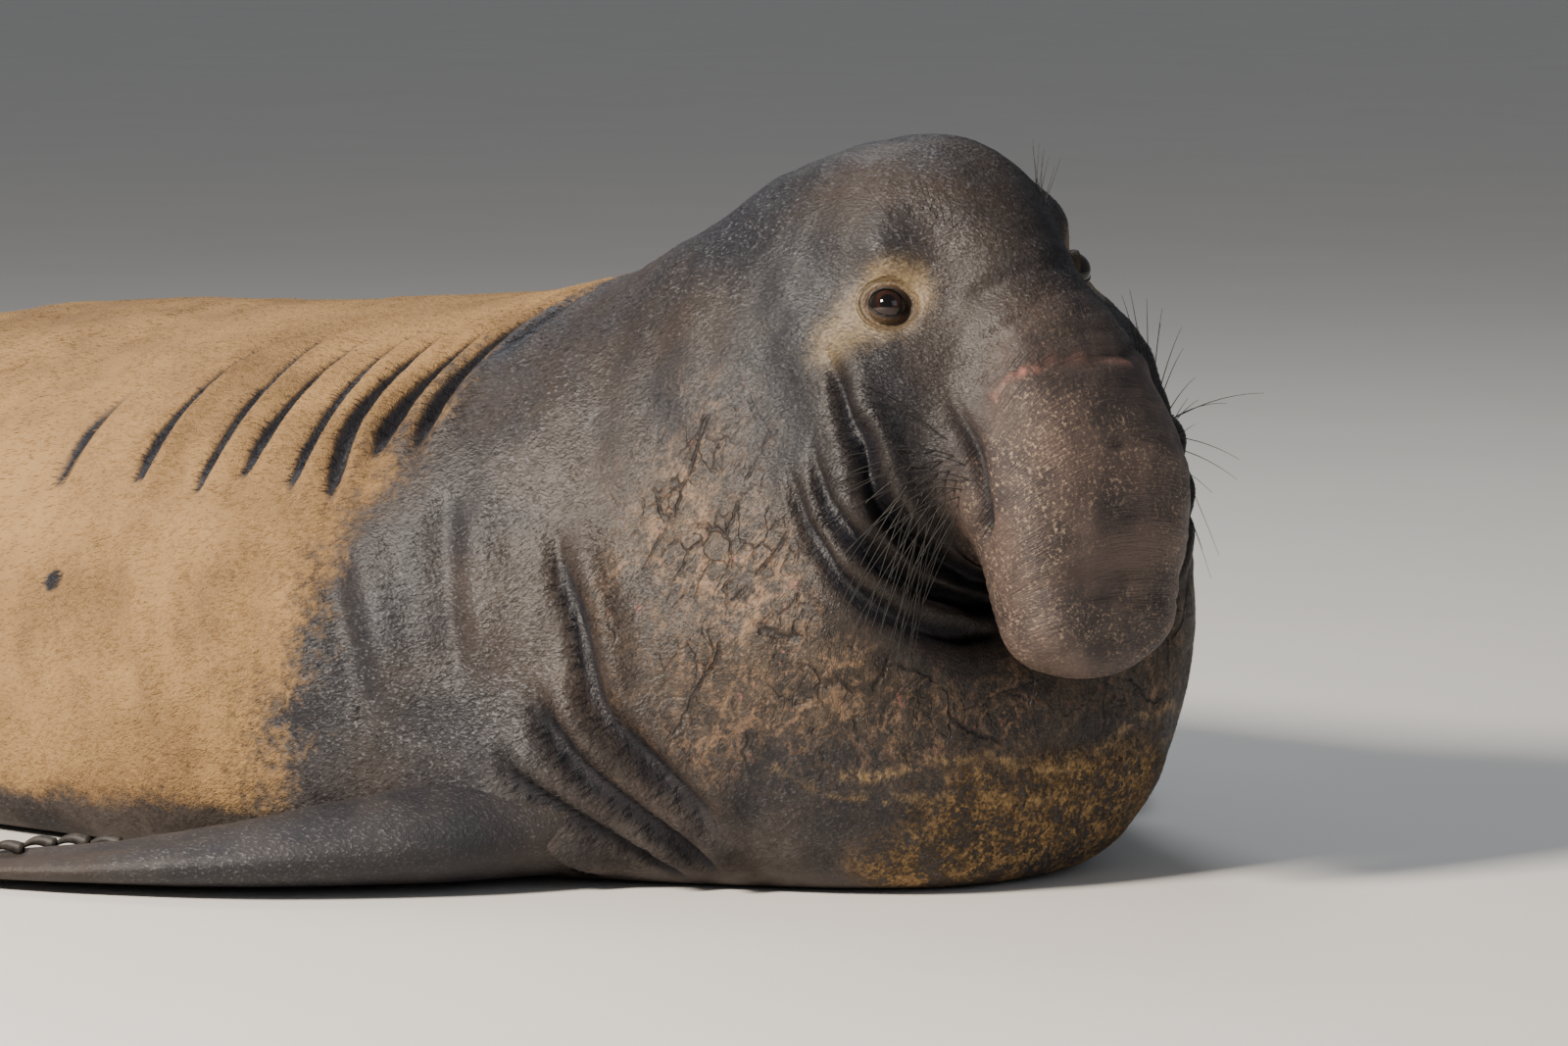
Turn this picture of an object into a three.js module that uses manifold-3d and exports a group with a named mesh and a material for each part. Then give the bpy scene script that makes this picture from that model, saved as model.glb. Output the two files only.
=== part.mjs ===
// Adult bull elephant seal lying with its head raised, life size, millimetres, +Z up.
// The head points along +X, the animal's left is +Y, and the belly rests on z = 0.
import * as THREE from 'three';
import { mergeVertices } from 'three/addons/utils/BufferGeometryUtils.js';
import Module from 'manifold-3d';

const wasm = await Module();
wasm.setup();

// Sections through the body, from the tail stock to the tip of the proboscis. Each holds the point on
// the back line and the one on the belly or throat line (x, z), the half width, the height of the
// widest place as a share of the way up, the roundness above and below it, and how far the upper
// part narrows. From the nape on the sections fan round the corner between proboscis and chin.
const SECTIONS = [
  { back: [-3300, 200], belly: [-3300, 50], half: 130, belt: 0.50, upper: 2.0, lower: 2.0, taper: 0 },
  { back: [-3000, 300], belly: [-3000, -20], half: 220, belt: 0.44, upper: 2.0, lower: 2.3, taper: 0 },
  { back: [-2550, 430], belly: [-2550, -60], half: 360, belt: 0.40, upper: 2.0, lower: 2.6, taper: 0 },
  { back: [-2050, 540], belly: [-2050, -80], half: 490, belt: 0.38, upper: 2.0, lower: 2.9, taper: 0 },
  { back: [-1550, 620], belly: [-1550, -80], half: 580, belt: 0.36, upper: 2.0, lower: 3.0, taper: 0 },
  { back: [-1080, 645], belly: [-1060, -80], half: 620, belt: 0.36, upper: 2.0, lower: 3.0, taper: 0 },
  { back: [-700, 675], belly: [-620, -80], half: 610, belt: 0.36, upper: 2.0, lower: 3.0, taper: 0 },
  { back: [-470, 725], belly: [-290, -70], half: 500, belt: 0.40, upper: 2.0, lower: 2.8, taper: 0 },
  { back: [-335, 785], belly: [-60, -50], half: 405, belt: 0.43, upper: 2.2, lower: 2.5, taper: 0.05 },
  { back: [-225, 845], belly: [90, 0], half: 350, belt: 0.45, upper: 2.4, lower: 2.3, taper: 0.13 },
  { back: [-130, 880], belly: [150, 100], half: 305, belt: 0.45, upper: 2.6, lower: 2.3, taper: 0.22 },
  { back: [-45, 895], belly: [160, 200], half: 282, belt: 0.45, upper: 2.7, lower: 2.2, taper: 0.32 },
  { back: [35, 888], belly: [150, 280], half: 264, belt: 0.45, upper: 2.5, lower: 2.2, taper: 0.38 },
  { back: [110, 850], belly: [125, 335], half: 240, belt: 0.45, upper: 2.35, lower: 2.2, taper: 0.43 },
  { back: [180, 780], belly: [125, 375], half: 198, belt: 0.46, upper: 2.25, lower: 2.2, taper: 0.38 },
  { back: [240, 680], belly: [130, 395], half: 163, belt: 0.48, upper: 2.3, lower: 2.2, taper: 0.20 },
  { back: [285, 575], belly: [145, 380], half: 142, belt: 0.50, upper: 2.2, lower: 2.2, taper: 0.05 },
  { back: [305, 470], belly: [155, 345], half: 128, belt: 0.50, upper: 2.2, lower: 2.2, taper: 0 },
  { back: [300, 370], belly: [165, 305], half: 112, belt: 0.50, upper: 2.2, lower: 2.2, taper: 0 },
];
const LAST = SECTIONS.length - 1;
const TAIL_CAP = 80;
const TIP_CAP = 70;

// The belly is pressed flat where it lies on the ground, with a soft edge of this height.
const FLOOR_EDGE = 30;

// The neck turns to the animal's right from TURN_FROM to TURN_TO, and the tail stock lies a little to
// its left. The head also rolls about a lengthwise axis at ROLL_HEIGHT.
const TURN_FROM = -900;
const TURN_TO = 50;
const TURN = -0.24;
const TAIL_FROM = -1500;
const TAIL_BEND = 0.0001;
const ROLL = THREE.MathUtils.degToRad(6);
const ROLL_HEIGHT = 500;
const ROLL_START = [7, 11];
const ROLL_END = [14, 18];

// Where the upper part of a section starts to narrow and where it has narrowed in full.
const TAPER_START = -0.35;
const TAPER_END = 0.6;

const GAP = 0.3;
const LOFT_ROWS = { body: 32, head: 42 };
const LOFT_SIDES = { body: 36, head: 48 };
const BODY_RANGE = [-1, 13.2];
const HEAD_RANGE = [6.2, LAST + 1];

// The first and last ring of a length of hide lie this far inside its range, so that none is a point.
const END_TRIM = 0.04;
const ANGLE_STEP = 0.02;

// Parting planes: a point (x, z) on each and the direction (x, z) in which its front lies. The two
// of the proboscis turn with the head, and meet at the top of the gap between it and the chin.
const PARTINGS = {
  proboscis: { at: [130, 395], front: [0.963, -0.269], turned: true },
  chin: { at: [149, 300], front: [1, 0], turned: true },
  head: { at: [-60, 560], front: [0.86, 0.51] },
  neck: { at: [-400, 400], front: [0.97, 0.24] },
  shoulders: { at: [-1050, 300], front: [1, 0] },
  waist: { at: [-1900, 300], front: [1, 0] },
  hips: { at: [-2700, 200], front: [1, 0] },
};

const EYE_RADIUS = 24;
const EYE_SECTION = 12.19;
const EYE_ANGLE = THREE.MathUtils.degToRad(64);
const EYE_SINK = 14;
const LID = { width: 25, height: 17, upper: 9, lower: 6.5, sunk: 3, steps: 20, sides: 7 };

const skins = {
  hide: { color: 0x4b4441, roughness: 0.62 },
  sandy: { color: 0x9a8062, roughness: 0.85 },
  trunk: { color: 0x5a4c45, roughness: 0.6 },
  flipper: { color: 0x3d3937, roughness: 0.6 },
  eye: { color: 0x1c100b, roughness: 0.08 },
  nail: { color: 0x1f1c1a, roughness: 0.45 },
};

const seal = new THREE.Group();
seal.name = 'elephant_seal';

function smooth(x, from, to) {
  return THREE.MathUtils.smoothstep(x, from, to);
}

function mix(a, b, share) {
  return a + (b - a) * share;
}

// One value of the section table at a place between sections, on a Catmull-Rom curve.
function between(read, place) {
  const spot = THREE.MathUtils.clamp(place, 0, LAST);
  const i = Math.min(Math.floor(spot), LAST - 1);
  const f = spot - i;
  const p1 = read(SECTIONS[i]);
  const p2 = read(SECTIONS[i + 1]);
  const p0 = i > 0 ? read(SECTIONS[i - 1]) : 2 * p1 - p2;
  const p3 = i + 2 <= LAST ? read(SECTIONS[i + 2]) : 2 * p2 - p1;
  const m1 = (p2 - p0) / 2;
  const m2 = (p3 - p1) / 2;
  return (2 * f ** 3 - 3 * f ** 2 + 1) * p1 + (f ** 3 - 2 * f ** 2 + f) * m1
    + (-2 * f ** 3 + 3 * f ** 2) * p2 + (f ** 3 - f ** 2) * m2;
}

// Height with the belly pressed flat: zero well below the floor, unchanged well above it.
function pressed(z) {
  if (z <= -FLOOR_EDGE) return 0;
  return z < FLOOR_EDGE ? (z + FLOOR_EDGE) ** 2 / (4 * FLOOR_EDGE) : z;
}

// Rolls the head about a lengthwise axis and presses what is low flat on the floor.
function rolled(point, place) {
  const turn = ROLL * smooth(place, ...ROLL_START) * (1 - smooth(place, ...ROLL_END));
  const high = point.z - ROLL_HEIGHT;
  const y = point.y * Math.cos(turn) - high * Math.sin(turn);
  const z = ROLL_HEIGHT + point.y * Math.sin(turn) + high * Math.cos(turn);
  return new THREE.Vector3(point.x, y, pressed(z));
}

// Bends the middle line sideways: the turn of the neck and the bend of the tail.
function bent(point) {
  const turned = THREE.MathUtils.clamp(point.x - TURN_FROM, 0, TURN_TO - TURN_FROM);
  const past = Math.max(point.x - TURN_TO, 0);
  const behind = Math.min(point.x - TAIL_FROM, 0);
  const slope = TURN * turned / (TURN_TO - TURN_FROM) + TAIL_BEND * behind;
  const middle = TURN * turned ** 2 / 2 / (TURN_TO - TURN_FROM) + past * TURN
    + TAIL_BEND * behind ** 2 / 2;
  const angle = Math.atan(slope);
  return new THREE.Vector3(point.x - point.y * Math.sin(angle),
    middle + point.y * Math.cos(angle), point.z);
}

// Carries a ring point towards the centre and outwards along the axis, as a rounded end does.
function capped(point, section, neighbour, length, turn) {
  const across = [section.back[0] - section.belly[0], section.back[1] - section.belly[1]];
  const size = Math.hypot(...across);
  const step = [section.back[0] - neighbour.back[0] + section.belly[0] - neighbour.belly[0],
    section.back[1] - neighbour.back[1] + section.belly[1] - neighbour.belly[1]];
  const side = Math.sign(step[0] * across[1] - step[1] * across[0]);
  const centre = new THREE.Vector3(mix(section.belly[0], section.back[0], section.belt), 0,
    mix(section.belly[1], section.back[1], section.belt));
  const out = new THREE.Vector3(side * across[1] / size, 0, -side * across[0] / size);
  return point.sub(centre).multiplyScalar(Math.cos(turn)).add(centre)
    .addScaledVector(out, length * Math.sin(turn));
}

// The hide at a place along the sections and an angle round them, 0 on the back and PI on the belly.
// Angles up to PI are the animal's left side.
function hide(place, angle) {
  const back = [between((s) => s.back[0], place), between((s) => s.back[1], place)];
  const belly = [between((s) => s.belly[0], place), between((s) => s.belly[1], place)];
  const belt = between((s) => s.belt, place);
  const upper = between((s) => s.upper, place);
  const lower = between((s) => s.lower, place);
  const sin = Math.sin(angle);
  const cos = Math.cos(angle);
  const narrowed = 1 - between((s) => s.taper, place) * smooth(cos, TAPER_START, TAPER_END);
  const side = between((s) => s.half, place) * narrowed
    * Math.sign(sin) * Math.abs(sin) ** (2 / (cos > 0 ? upper : lower));
  const rise = cos > 0 ? belt + (1 - belt) * cos ** (2 / upper) : belt - belt * (-cos) ** (2 / lower);
  const point = new THREE.Vector3(mix(belly[0], back[0], rise), side, mix(belly[1], back[1], rise));
  if (place < 0) capped(point, SECTIONS[0], SECTIONS[1], TAIL_CAP, -place * Math.PI / 2);
  if (place > LAST) {
    capped(point, SECTIONS[LAST], SECTIONS[LAST - 1], TIP_CAP, (place - LAST) * Math.PI / 2);
  }
  return bent(rolled(point, place));
}

// Outward direction of the hide.
function outward(place, angle) {
  const along = hide(place + ANGLE_STEP, angle).sub(hide(place - ANGLE_STEP, angle));
  const round = hide(place, angle + ANGLE_STEP).sub(hide(place, angle - ANGLE_STEP));
  return along.cross(round).normalize();
}

// A closed surface through rings of points, with a point in the middle of each end.
function closedLoft(rings) {
  const sides = rings[0].length;
  const positions = rings.flat().flatMap((p) => [p.x, p.y, p.z]);
  const index = [];
  for (let row = 0; row + 1 < rings.length; row += 1) {
    for (let i = 0; i < sides; i += 1) {
      const a = row * sides + i;
      const b = row * sides + (i + 1) % sides;
      index.push(a, a + sides, b, b, a + sides, b + sides);
    }
  }
  [[0, 1], [rings.length - 1, -1]].forEach(([row, sign]) => {
    const middle = rings[row].reduce((sum, p) => sum.add(p), new THREE.Vector3())
      .divideScalar(sides);
    const centre = positions.length / 3;
    positions.push(middle.x, middle.y, middle.z);
    for (let i = 0; i < sides; i += 1) {
      const a = row * sides + i;
      const b = row * sides + (i + 1) % sides;
      index.push(centre, ...(sign > 0 ? [a, b] : [b, a]));
    }
  });
  const geometry = new THREE.BufferGeometry();
  geometry.setAttribute('position', new THREE.Float32BufferAttribute(positions, 3));
  geometry.setIndex(index);
  return geometry;
}

function solidOf(geometry) {
  const bare = geometry.clone();
  bare.deleteAttribute('normal');
  bare.deleteAttribute('uv');
  const merged = mergeVertices(bare, 1e-4);
  const solid = new wasm.Manifold(new wasm.Mesh({
    numProp: 3,
    vertProperties: new Float32Array(merged.attributes.position.array),
    triVerts: new Uint32Array(merged.index.array),
  }));
  if (solid.volume() >= 0) return solid;
  const flipped = Array.from(merged.index.array);
  for (let i = 0; i < flipped.length; i += 3) {
    [flipped[i], flipped[i + 1]] = [flipped[i + 1], flipped[i]];
  }
  return new wasm.Manifold(new wasm.Mesh({
    numProp: 3,
    vertProperties: new Float32Array(merged.attributes.position.array),
    triVerts: new Uint32Array(flipped),
  }));
}

// Keeps the largest closed surface of a solid.
function largest(solid) {
  return solid.decompose().reduce((best, next) => (next.volume() > best.volume() ? next : best));
}

function addNode(name, solid, skin) {
  const mesh = largest(solid).getMesh();
  const geometry = new THREE.BufferGeometry();
  const positions = [];
  for (let i = 0; i < mesh.numVert; i += 1) {
    positions.push(...mesh.vertProperties.slice(i * mesh.numProp, i * mesh.numProp + 3));
  }
  geometry.setAttribute('position', new THREE.Float32BufferAttribute(positions, 3));
  geometry.setIndex(Array.from(mesh.triVerts));
  const node = new THREE.Mesh(geometry, new THREE.MeshStandardMaterial({ ...skin, metalness: 0 }));
  node.name = name;
  seal.add(node);
}

// A piece of the hide as a solid, grown outwards by an even amount.
function hideSolid([from, to], rows, sides, grow) {
  const rings = [];
  for (let row = 0; row <= rows; row += 1) {
    const place = mix(from + END_TRIM, to - END_TRIM, row / rows);
    const ring = [];
    for (let i = 0; i < sides; i += 1) {
      const angle = 2 * Math.PI * i / sides;
      const point = hide(place, angle);
      if (grow > 0) point.addScaledVector(outward(place, angle), grow);
      ring.push(point);
    }
    rings.push(ring);
  }
  return solidOf(closedLoft(rings));
}

// Everything on one side of a parting plane, kept half a gap away from it.
const HALF_SPACE = 9000;
function halfSpace({ at, front, turned }, sign) {
  const box = new THREE.BoxGeometry(HALF_SPACE, HALF_SPACE, HALF_SPACE);
  box.translate(sign * (HALF_SPACE + GAP) / 2, 0, 0);
  box.rotateY(-Math.atan2(front[1], front[0]));
  if (turned) box.rotateZ(Math.atan(TURN));
  const straight = new THREE.Vector3(at[0], 0, at[1]);
  const place = turned ? bent(straight) : straight;
  box.translate(place.x, place.y, place.z);
  return solidOf(box);
}

const inFront = (name) => halfSpace(PARTINGS[name], 1);
const behind = (name) => halfSpace(PARTINGS[name], -1);

// A round roll along a line of points, thin at both ends.
const ROLL_MESH = { sides: 7, steps: 14, fullness: 0.6, end: 0.28 };

function roll(points, radius) {
  const curve = new THREE.CatmullRomCurve3(points);
  const frames = curve.computeFrenetFrames(ROLL_MESH.steps, false);
  const rings = [];
  for (let row = 0; row <= ROLL_MESH.steps; row += 1) {
    const t = row / ROLL_MESH.steps;
    const swell = mix(ROLL_MESH.end, 1, Math.sin(Math.PI * t) ** ROLL_MESH.fullness);
    const centre = curve.getPointAt(t);
    const ring = [];
    for (let i = 0; i < ROLL_MESH.sides; i += 1) {
      const turn = 2 * Math.PI * i / ROLL_MESH.sides;
      ring.push(centre.clone()
        .addScaledVector(frames.normals[row], radius * swell * Math.cos(turn))
        .addScaledVector(frames.binormals[row], radius * swell * Math.sin(turn)));
    }
    rings.push(ring);
  }
  return solidOf(closedLoft(rings));
}

// Points on the hide from places and degrees round from the back, moved out by a lift.
function onHide(route, lift, mirrored) {
  return route.map(([place, degrees]) => {
    const angle = THREE.MathUtils.degToRad(mirrored ? degrees : 360 - degrees);
    return hide(place, angle).addScaledVector(outward(place, angle), lift);
  });
}

// Lines of the face as places and degrees round from the back: the mouth, the lip under it, and
// the roll of the jaw below. The radii are those of a groove and two rolls along them.
const MOUTH_LINE = [[11.3, 77], [11.64, 85], [12.36, 90], [13.02, 99], [13.39, 111], [13.7, 128],
  [13.88, 144]];
const LIP_ROLL = [[11.1, 82], [11.5, 90], [12.2, 98], [12.75, 109], [13.1, 122], [13.4, 138],
  [13.55, 152]];
const JAW_ROLL = [[10.6, 88], [11.0, 93], [11.6, 103], [12.1, 116], [12.5, 133], [12.8, 152]];
const MOUTH = { radius: 9, lift: 2 };
const LIP = { radius: 22, lift: -10 };
const JAW = { radius: 24, lift: -12 };
const WHISKER_PAD = { place: 14.2, degrees: 97, size: [62, 40, 74], sunk: 22 };
const NOSTRIL = { place: 18.55, degrees: 22, size: [17, 9, 22] };
const EAR = { place: 10.6, degrees: 66, size: [9, 5, 7] };
const BULB_MESH = { sides: 14, rows: 10 };
const BALL_MESH = { sides: 16, rows: 10 };

// An ellipsoid on the hide, its first size along the animal, its second outwards, its third round.
function bulb({ place, degrees, size, sunk = 0 }, mirrored) {
  const angle = THREE.MathUtils.degToRad(mirrored ? degrees : 360 - degrees);
  const centre = hide(place, angle);
  const out = outward(place, angle);
  const along = hide(place + ANGLE_STEP, angle).sub(centre).normalize();
  const round = new THREE.Vector3().crossVectors(out, along).normalize();
  along.crossVectors(round, out);
  const shape = new THREE.SphereGeometry(1, BULB_MESH.sides, BULB_MESH.rows);
  shape.scale(...size);
  shape.applyMatrix4(new THREE.Matrix4().makeBasis(along, out, round));
  centre.addScaledVector(out, -sunk);
  shape.translate(centre.x, centre.y, centre.z);
  return solidOf(shape);
}

// The eye's centre and its own axes: out of the head, forwards, and up.
function eyeFrame(mirrored) {
  const angle = mirrored ? EYE_ANGLE : 2 * Math.PI - EYE_ANGLE;
  const surface = hide(EYE_SECTION, angle);
  const out = outward(EYE_SECTION, angle);
  const ahead = new THREE.Vector3(1, 0, 0).projectOnPlane(out).normalize();
  const up = new THREE.Vector3().crossVectors(ahead, out).normalize();
  if (up.z < 0) up.negate();
  const centre = surface.addScaledVector(out, -EYE_SINK);
  return { centre, out, ahead, up };
}

function ball(centre, radius) {
  const geometry = new THREE.SphereGeometry(radius, BALL_MESH.sides, BALL_MESH.rows);
  geometry.translate(centre.x, centre.y, centre.z);
  return solidOf(geometry);
}

// Both lids as one rim round the eye's opening, heavier above.
function lids({ centre, out, ahead, up }) {
  const rings = [];
  for (let step = 0; step < LID.steps; step += 1) {
    const turn = 2 * Math.PI * step / LID.steps;
    const thick = mix(LID.lower, LID.upper, (1 + Math.sin(turn)) / 2);
    const middle = centre.clone()
      .addScaledVector(ahead, LID.width * Math.cos(turn))
      .addScaledVector(up, LID.height * Math.sin(turn))
      .addScaledVector(out, EYE_SINK - LID.sunk);
    const spoke = ahead.clone().multiplyScalar(Math.cos(turn)).addScaledVector(up, Math.sin(turn));
    const ring = [];
    for (let i = 0; i < LID.sides; i += 1) {
      const around = 2 * Math.PI * i / LID.sides;
      ring.push(middle.clone().addScaledVector(spoke, thick * Math.cos(around))
        .addScaledVector(out, thick * Math.sin(around)));
    }
    rings.push(ring);
  }
  const index = [];
  const wrap = (row) => (row % LID.steps) * LID.sides;
  for (let row = 0; row < LID.steps; row += 1) {
    for (let i = 0; i < LID.sides; i += 1) {
      const j = (i + 1) % LID.sides;
      index.push(wrap(row) + i, wrap(row + 1) + i, wrap(row) + j);
      index.push(wrap(row) + j, wrap(row + 1) + i, wrap(row + 1) + j);
    }
  }
  const geometry = new THREE.BufferGeometry();
  const positions = rings.flat().flatMap((p) => [p.x, p.y, p.z]);
  geometry.setAttribute('position', new THREE.Float32BufferAttribute(positions, 3));
  geometry.setIndex(index);
  return solidOf(geometry);
}

// Flippers as paddles: a route on the straight animal, its half width and half thickness along it,
// digits as swellings across it, and how much longer each digit is than the middle of the web.
const DIGITS = 5;
const FORE = {
  route: [[-300, -300, 80], [-380, -500, 66], [-520, -660, 48], [-700, -760, 30], [-900, -820, 18]],
  halfWidth: [120, 135, 125, 105, 90],
  halfThick: [72, 60, 42, 25, 13],
  oblique: 70,
  scallop: 16,
  middleShort: 0,
  rib: 0.16,
  rows: 10,
  sides: 22,
};
const HIND = {
  route: [[-3200, -85, 120], [-3340, -128, 95], [-3480, -175, 62], [-3640, -235, 38], [-3800, -295, 20]],
  halfWidth: [56, 76, 100, 135, 165],
  halfThick: [60, 44, 28, 19, 10],
  oblique: 0,
  scallop: 14,
  middleShort: 130,
  rib: 0.18,
  rows: 10,
  sides: 22,
};
const SPREAD_FROM = 0.45;

// A point of a flipper: s runs 0 at the root to 1 at the tip, t runs -1 to 1 across it, and side is
// 1 on its upper face and -1 below. Positive t is the leading edge of a fore flipper.
function paddlePoint(shape, s, t, side, mirrored) {
  const across = Math.cos(Math.PI * DIGITS * (t + 1) / 2);
  const reach = smooth(s, SPREAD_FROM, 1);
  const curve = new THREE.CatmullRomCurve3(shape.route.map((p) => new THREE.Vector3(...p)));
  const spine = curve.getPoint(s);
  const ahead = curve.getTangent(s);
  ahead.z = 0;
  ahead.normalize();
  const place = s * (shape.route.length - 1);
  const i = Math.min(Math.floor(place), shape.route.length - 2);
  const width = mix(shape.halfWidth[i], shape.halfWidth[i + 1], place - i);
  const thick = mix(shape.halfThick[i], shape.halfThick[i + 1], place - i);
  const edge = Math.sqrt(Math.max(1 - t * t, 0));
  const extra = shape.oblique * t - shape.middleShort * (1 - t * t) - shape.scallop * across * edge;
  const cross = new THREE.Vector3(-ahead.y, ahead.x, 0);
  const point = spine.clone().addScaledVector(ahead, extra * reach).addScaledVector(cross, width * t);
  point.z += side * thick * edge * (1 - shape.rib * reach * across);
  if (mirrored) point.y = -point.y;
  point.z = Math.max(point.z, 0);
  return bent(point);
}

function paddle(shape, mirrored) {
  const rings = [];
  for (let row = 0; row <= shape.rows; row += 1) {
    const s = row / shape.rows;
    const ring = [];
    for (let i = 0; i < shape.sides; i += 1) {
      const turn = 2 * Math.PI * i / shape.sides;
      ring.push(paddlePoint(shape, s, -Math.cos(turn), Math.sign(Math.sin(turn)) || 1, mirrored));
    }
    rings.push(ring);
  }
  return solidOf(closedLoft(rings));
}

// Nails on the upper side of the fore flippers, near the end of each digit.
const NAIL = {
  length: 46, radius: 8, tip: 0.14, aim: 0.85, from: 0.9, rise: 5, drop: 10, lowest: 1, steps: 3, sides: 6,
};

function nail(digit, mirrored) {
  const t = -1 + (2 * digit + 1) / DIGITS;
  const root = paddlePoint(FORE, NAIL.aim, t, 1, mirrored);
  const tip = paddlePoint(FORE, 1, t, 1, mirrored);
  const along = tip.clone().sub(root).setZ(0).normalize();
  const start = paddlePoint(FORE, NAIL.from, t, 1, mirrored);
  const cross = new THREE.Vector3(-along.y, along.x, 0);
  const rings = [];
  for (let row = 0; row <= NAIL.steps; row += 1) {
    const s = row / NAIL.steps;
    const radius = NAIL.radius * mix(1, NAIL.tip, s ** 1.5);
    const centre = start.clone().addScaledVector(along, NAIL.length * s);
    centre.z += NAIL.rise * Math.sin(Math.PI * s) - NAIL.drop * s * s + NAIL.radius;
    const ring = [];
    for (let i = 0; i < NAIL.sides; i += 1) {
      const turn = 2 * Math.PI * i / NAIL.sides;
      const point = centre.clone().addScaledVector(cross, radius * Math.cos(turn));
      point.z = Math.max(point.z + radius * Math.sin(turn), NAIL.lowest);
      ring.push(point);
    }
    rings.push(ring);
  }
  return solidOf(closedLoft(rings));
}

const TAIL = {
  from: [-3340, 0, 108], to: [-3500, 0, 60], radius: 40, tip: 0.35, flat: 0.5, steps: 5, sides: 12,
};

function tailStub() {
  const rings = [];
  for (let row = 0; row <= TAIL.steps; row += 1) {
    const s = row / TAIL.steps;
    const radius = TAIL.radius * mix(1, TAIL.tip, s * s);
    const ring = [];
    for (let i = 0; i < TAIL.sides; i += 1) {
      const turn = 2 * Math.PI * i / TAIL.sides;
      ring.push(bent(new THREE.Vector3(mix(TAIL.from[0], TAIL.to[0], s), radius * Math.cos(turn),
        mix(TAIL.from[2], TAIL.to[2], s) + radius * TAIL.flat * Math.sin(turn))));
    }
    rings.push(ring);
  }
  return solidOf(closedLoft(rings));
}

const trunk = hideSolid(BODY_RANGE, LOFT_ROWS.body, LOFT_SIDES.body, 0);
const trunkGrown = hideSolid(BODY_RANGE, LOFT_ROWS.body, LOFT_SIDES.body, GAP);
let face = hideSolid(HEAD_RANGE, LOFT_ROWS.head, LOFT_SIDES.head, 0);

[false, true].forEach((mirrored) => {
  const side = mirrored ? 'left' : 'right';
  const frame = eyeFrame(mirrored);
  face = face.add(bulb(WHISKER_PAD, mirrored))
    .add(roll(onHide(LIP_ROLL, LIP.lift, mirrored), LIP.radius))
    .add(roll(onHide(JAW_ROLL, JAW.lift, mirrored), JAW.radius))
    .add(lids(frame))
    .subtract(roll(onHide(MOUTH_LINE, MOUTH.lift, mirrored), MOUTH.radius))
    .subtract(bulb(NOSTRIL, mirrored))
    .subtract(bulb(EAR, mirrored))
    .subtract(ball(frame.centre, EYE_RADIUS + 2 * GAP));
  addNode(`eye_${side}`, ball(frame.centre, EYE_RADIUS), skins.eye);
  const fore = paddle(FORE, mirrored).subtract(trunkGrown);
  const nails = Array.from({ length: DIGITS }, (_, digit) => nail(digit, mirrored));
  addNode(`fore_flipper_${side}`, fore, skins.flipper);
  nails.forEach((solid, digit) => {
    addNode(`nail_${side}_${digit + 1}`, solid.subtract(paddle(FORE, mirrored)), skins.nail);
  });
  addNode(`hind_flipper_${side}`, paddle(HIND, mirrored).subtract(trunkGrown), skins.flipper);
});

const skull = face.intersect(inFront('head'));
addNode('proboscis', skull.intersect(inFront('proboscis')).intersect(inFront('chin')), skins.trunk);
addNode('head', skull.intersect(behind('proboscis').add(behind('chin'))), skins.hide);
addNode('neck', trunk.intersect(behind('head')).intersect(inFront('neck')), skins.hide);
addNode('torso_front', trunk.intersect(behind('neck')).intersect(inFront('shoulders')), skins.hide);
addNode('torso_middle', trunk.intersect(behind('shoulders')).intersect(inFront('waist')), skins.sandy);
addNode('torso_rear', trunk.intersect(behind('waist')).intersect(inFront('hips')), skins.sandy);
addNode('hips', trunk.intersect(behind('hips')), skins.sandy);
addNode('tail', tailStub().subtract(trunkGrown), skins.sandy);

// The origin is the middle of the underside of the box round the whole animal.
const bounds = new THREE.Box3().setFromObject(seal);
const middle = bounds.getCenter(new THREE.Vector3());
seal.position.set(-middle.x, -middle.y, -bounds.min.z);
seal.updateMatrixWorld(true);

export default seal;
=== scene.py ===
"""Looks of an adult bull elephant seal lying with its head raised, life size, in metres.

The head points along +X and the animal's left is +Y. One skin covers the flesh of the whole
animal, and the eyes and nails are pieces of their own. The straight animal is a row of sections;
a bend of the neck, a roll of the head and a bend of the tail carry it to its pose.
"""
import logging
from dataclasses import dataclass, field
from enum import Enum
from typing import Iterator, Sequence

import bpy
import numpy as np
from mathutils import Matrix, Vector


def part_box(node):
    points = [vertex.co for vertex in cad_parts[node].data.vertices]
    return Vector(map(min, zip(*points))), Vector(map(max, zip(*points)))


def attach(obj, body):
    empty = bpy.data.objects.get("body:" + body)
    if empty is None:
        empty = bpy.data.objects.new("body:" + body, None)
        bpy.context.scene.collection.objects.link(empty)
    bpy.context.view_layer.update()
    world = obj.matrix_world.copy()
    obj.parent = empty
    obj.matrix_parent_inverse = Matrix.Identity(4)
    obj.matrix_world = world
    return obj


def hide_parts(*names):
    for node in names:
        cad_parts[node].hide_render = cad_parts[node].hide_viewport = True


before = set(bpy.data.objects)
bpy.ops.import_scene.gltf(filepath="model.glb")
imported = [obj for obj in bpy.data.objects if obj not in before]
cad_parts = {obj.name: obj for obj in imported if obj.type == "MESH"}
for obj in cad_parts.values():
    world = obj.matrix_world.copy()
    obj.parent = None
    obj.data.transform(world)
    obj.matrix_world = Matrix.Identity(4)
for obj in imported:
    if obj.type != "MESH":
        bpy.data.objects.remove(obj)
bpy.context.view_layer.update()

log = logging.getLogger("elephant_seal")
Array = np.ndarray
Socket = bpy.types.NodeSocket
Piece = bpy.types.Object
Route = Sequence[tuple[float, float]]

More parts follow.
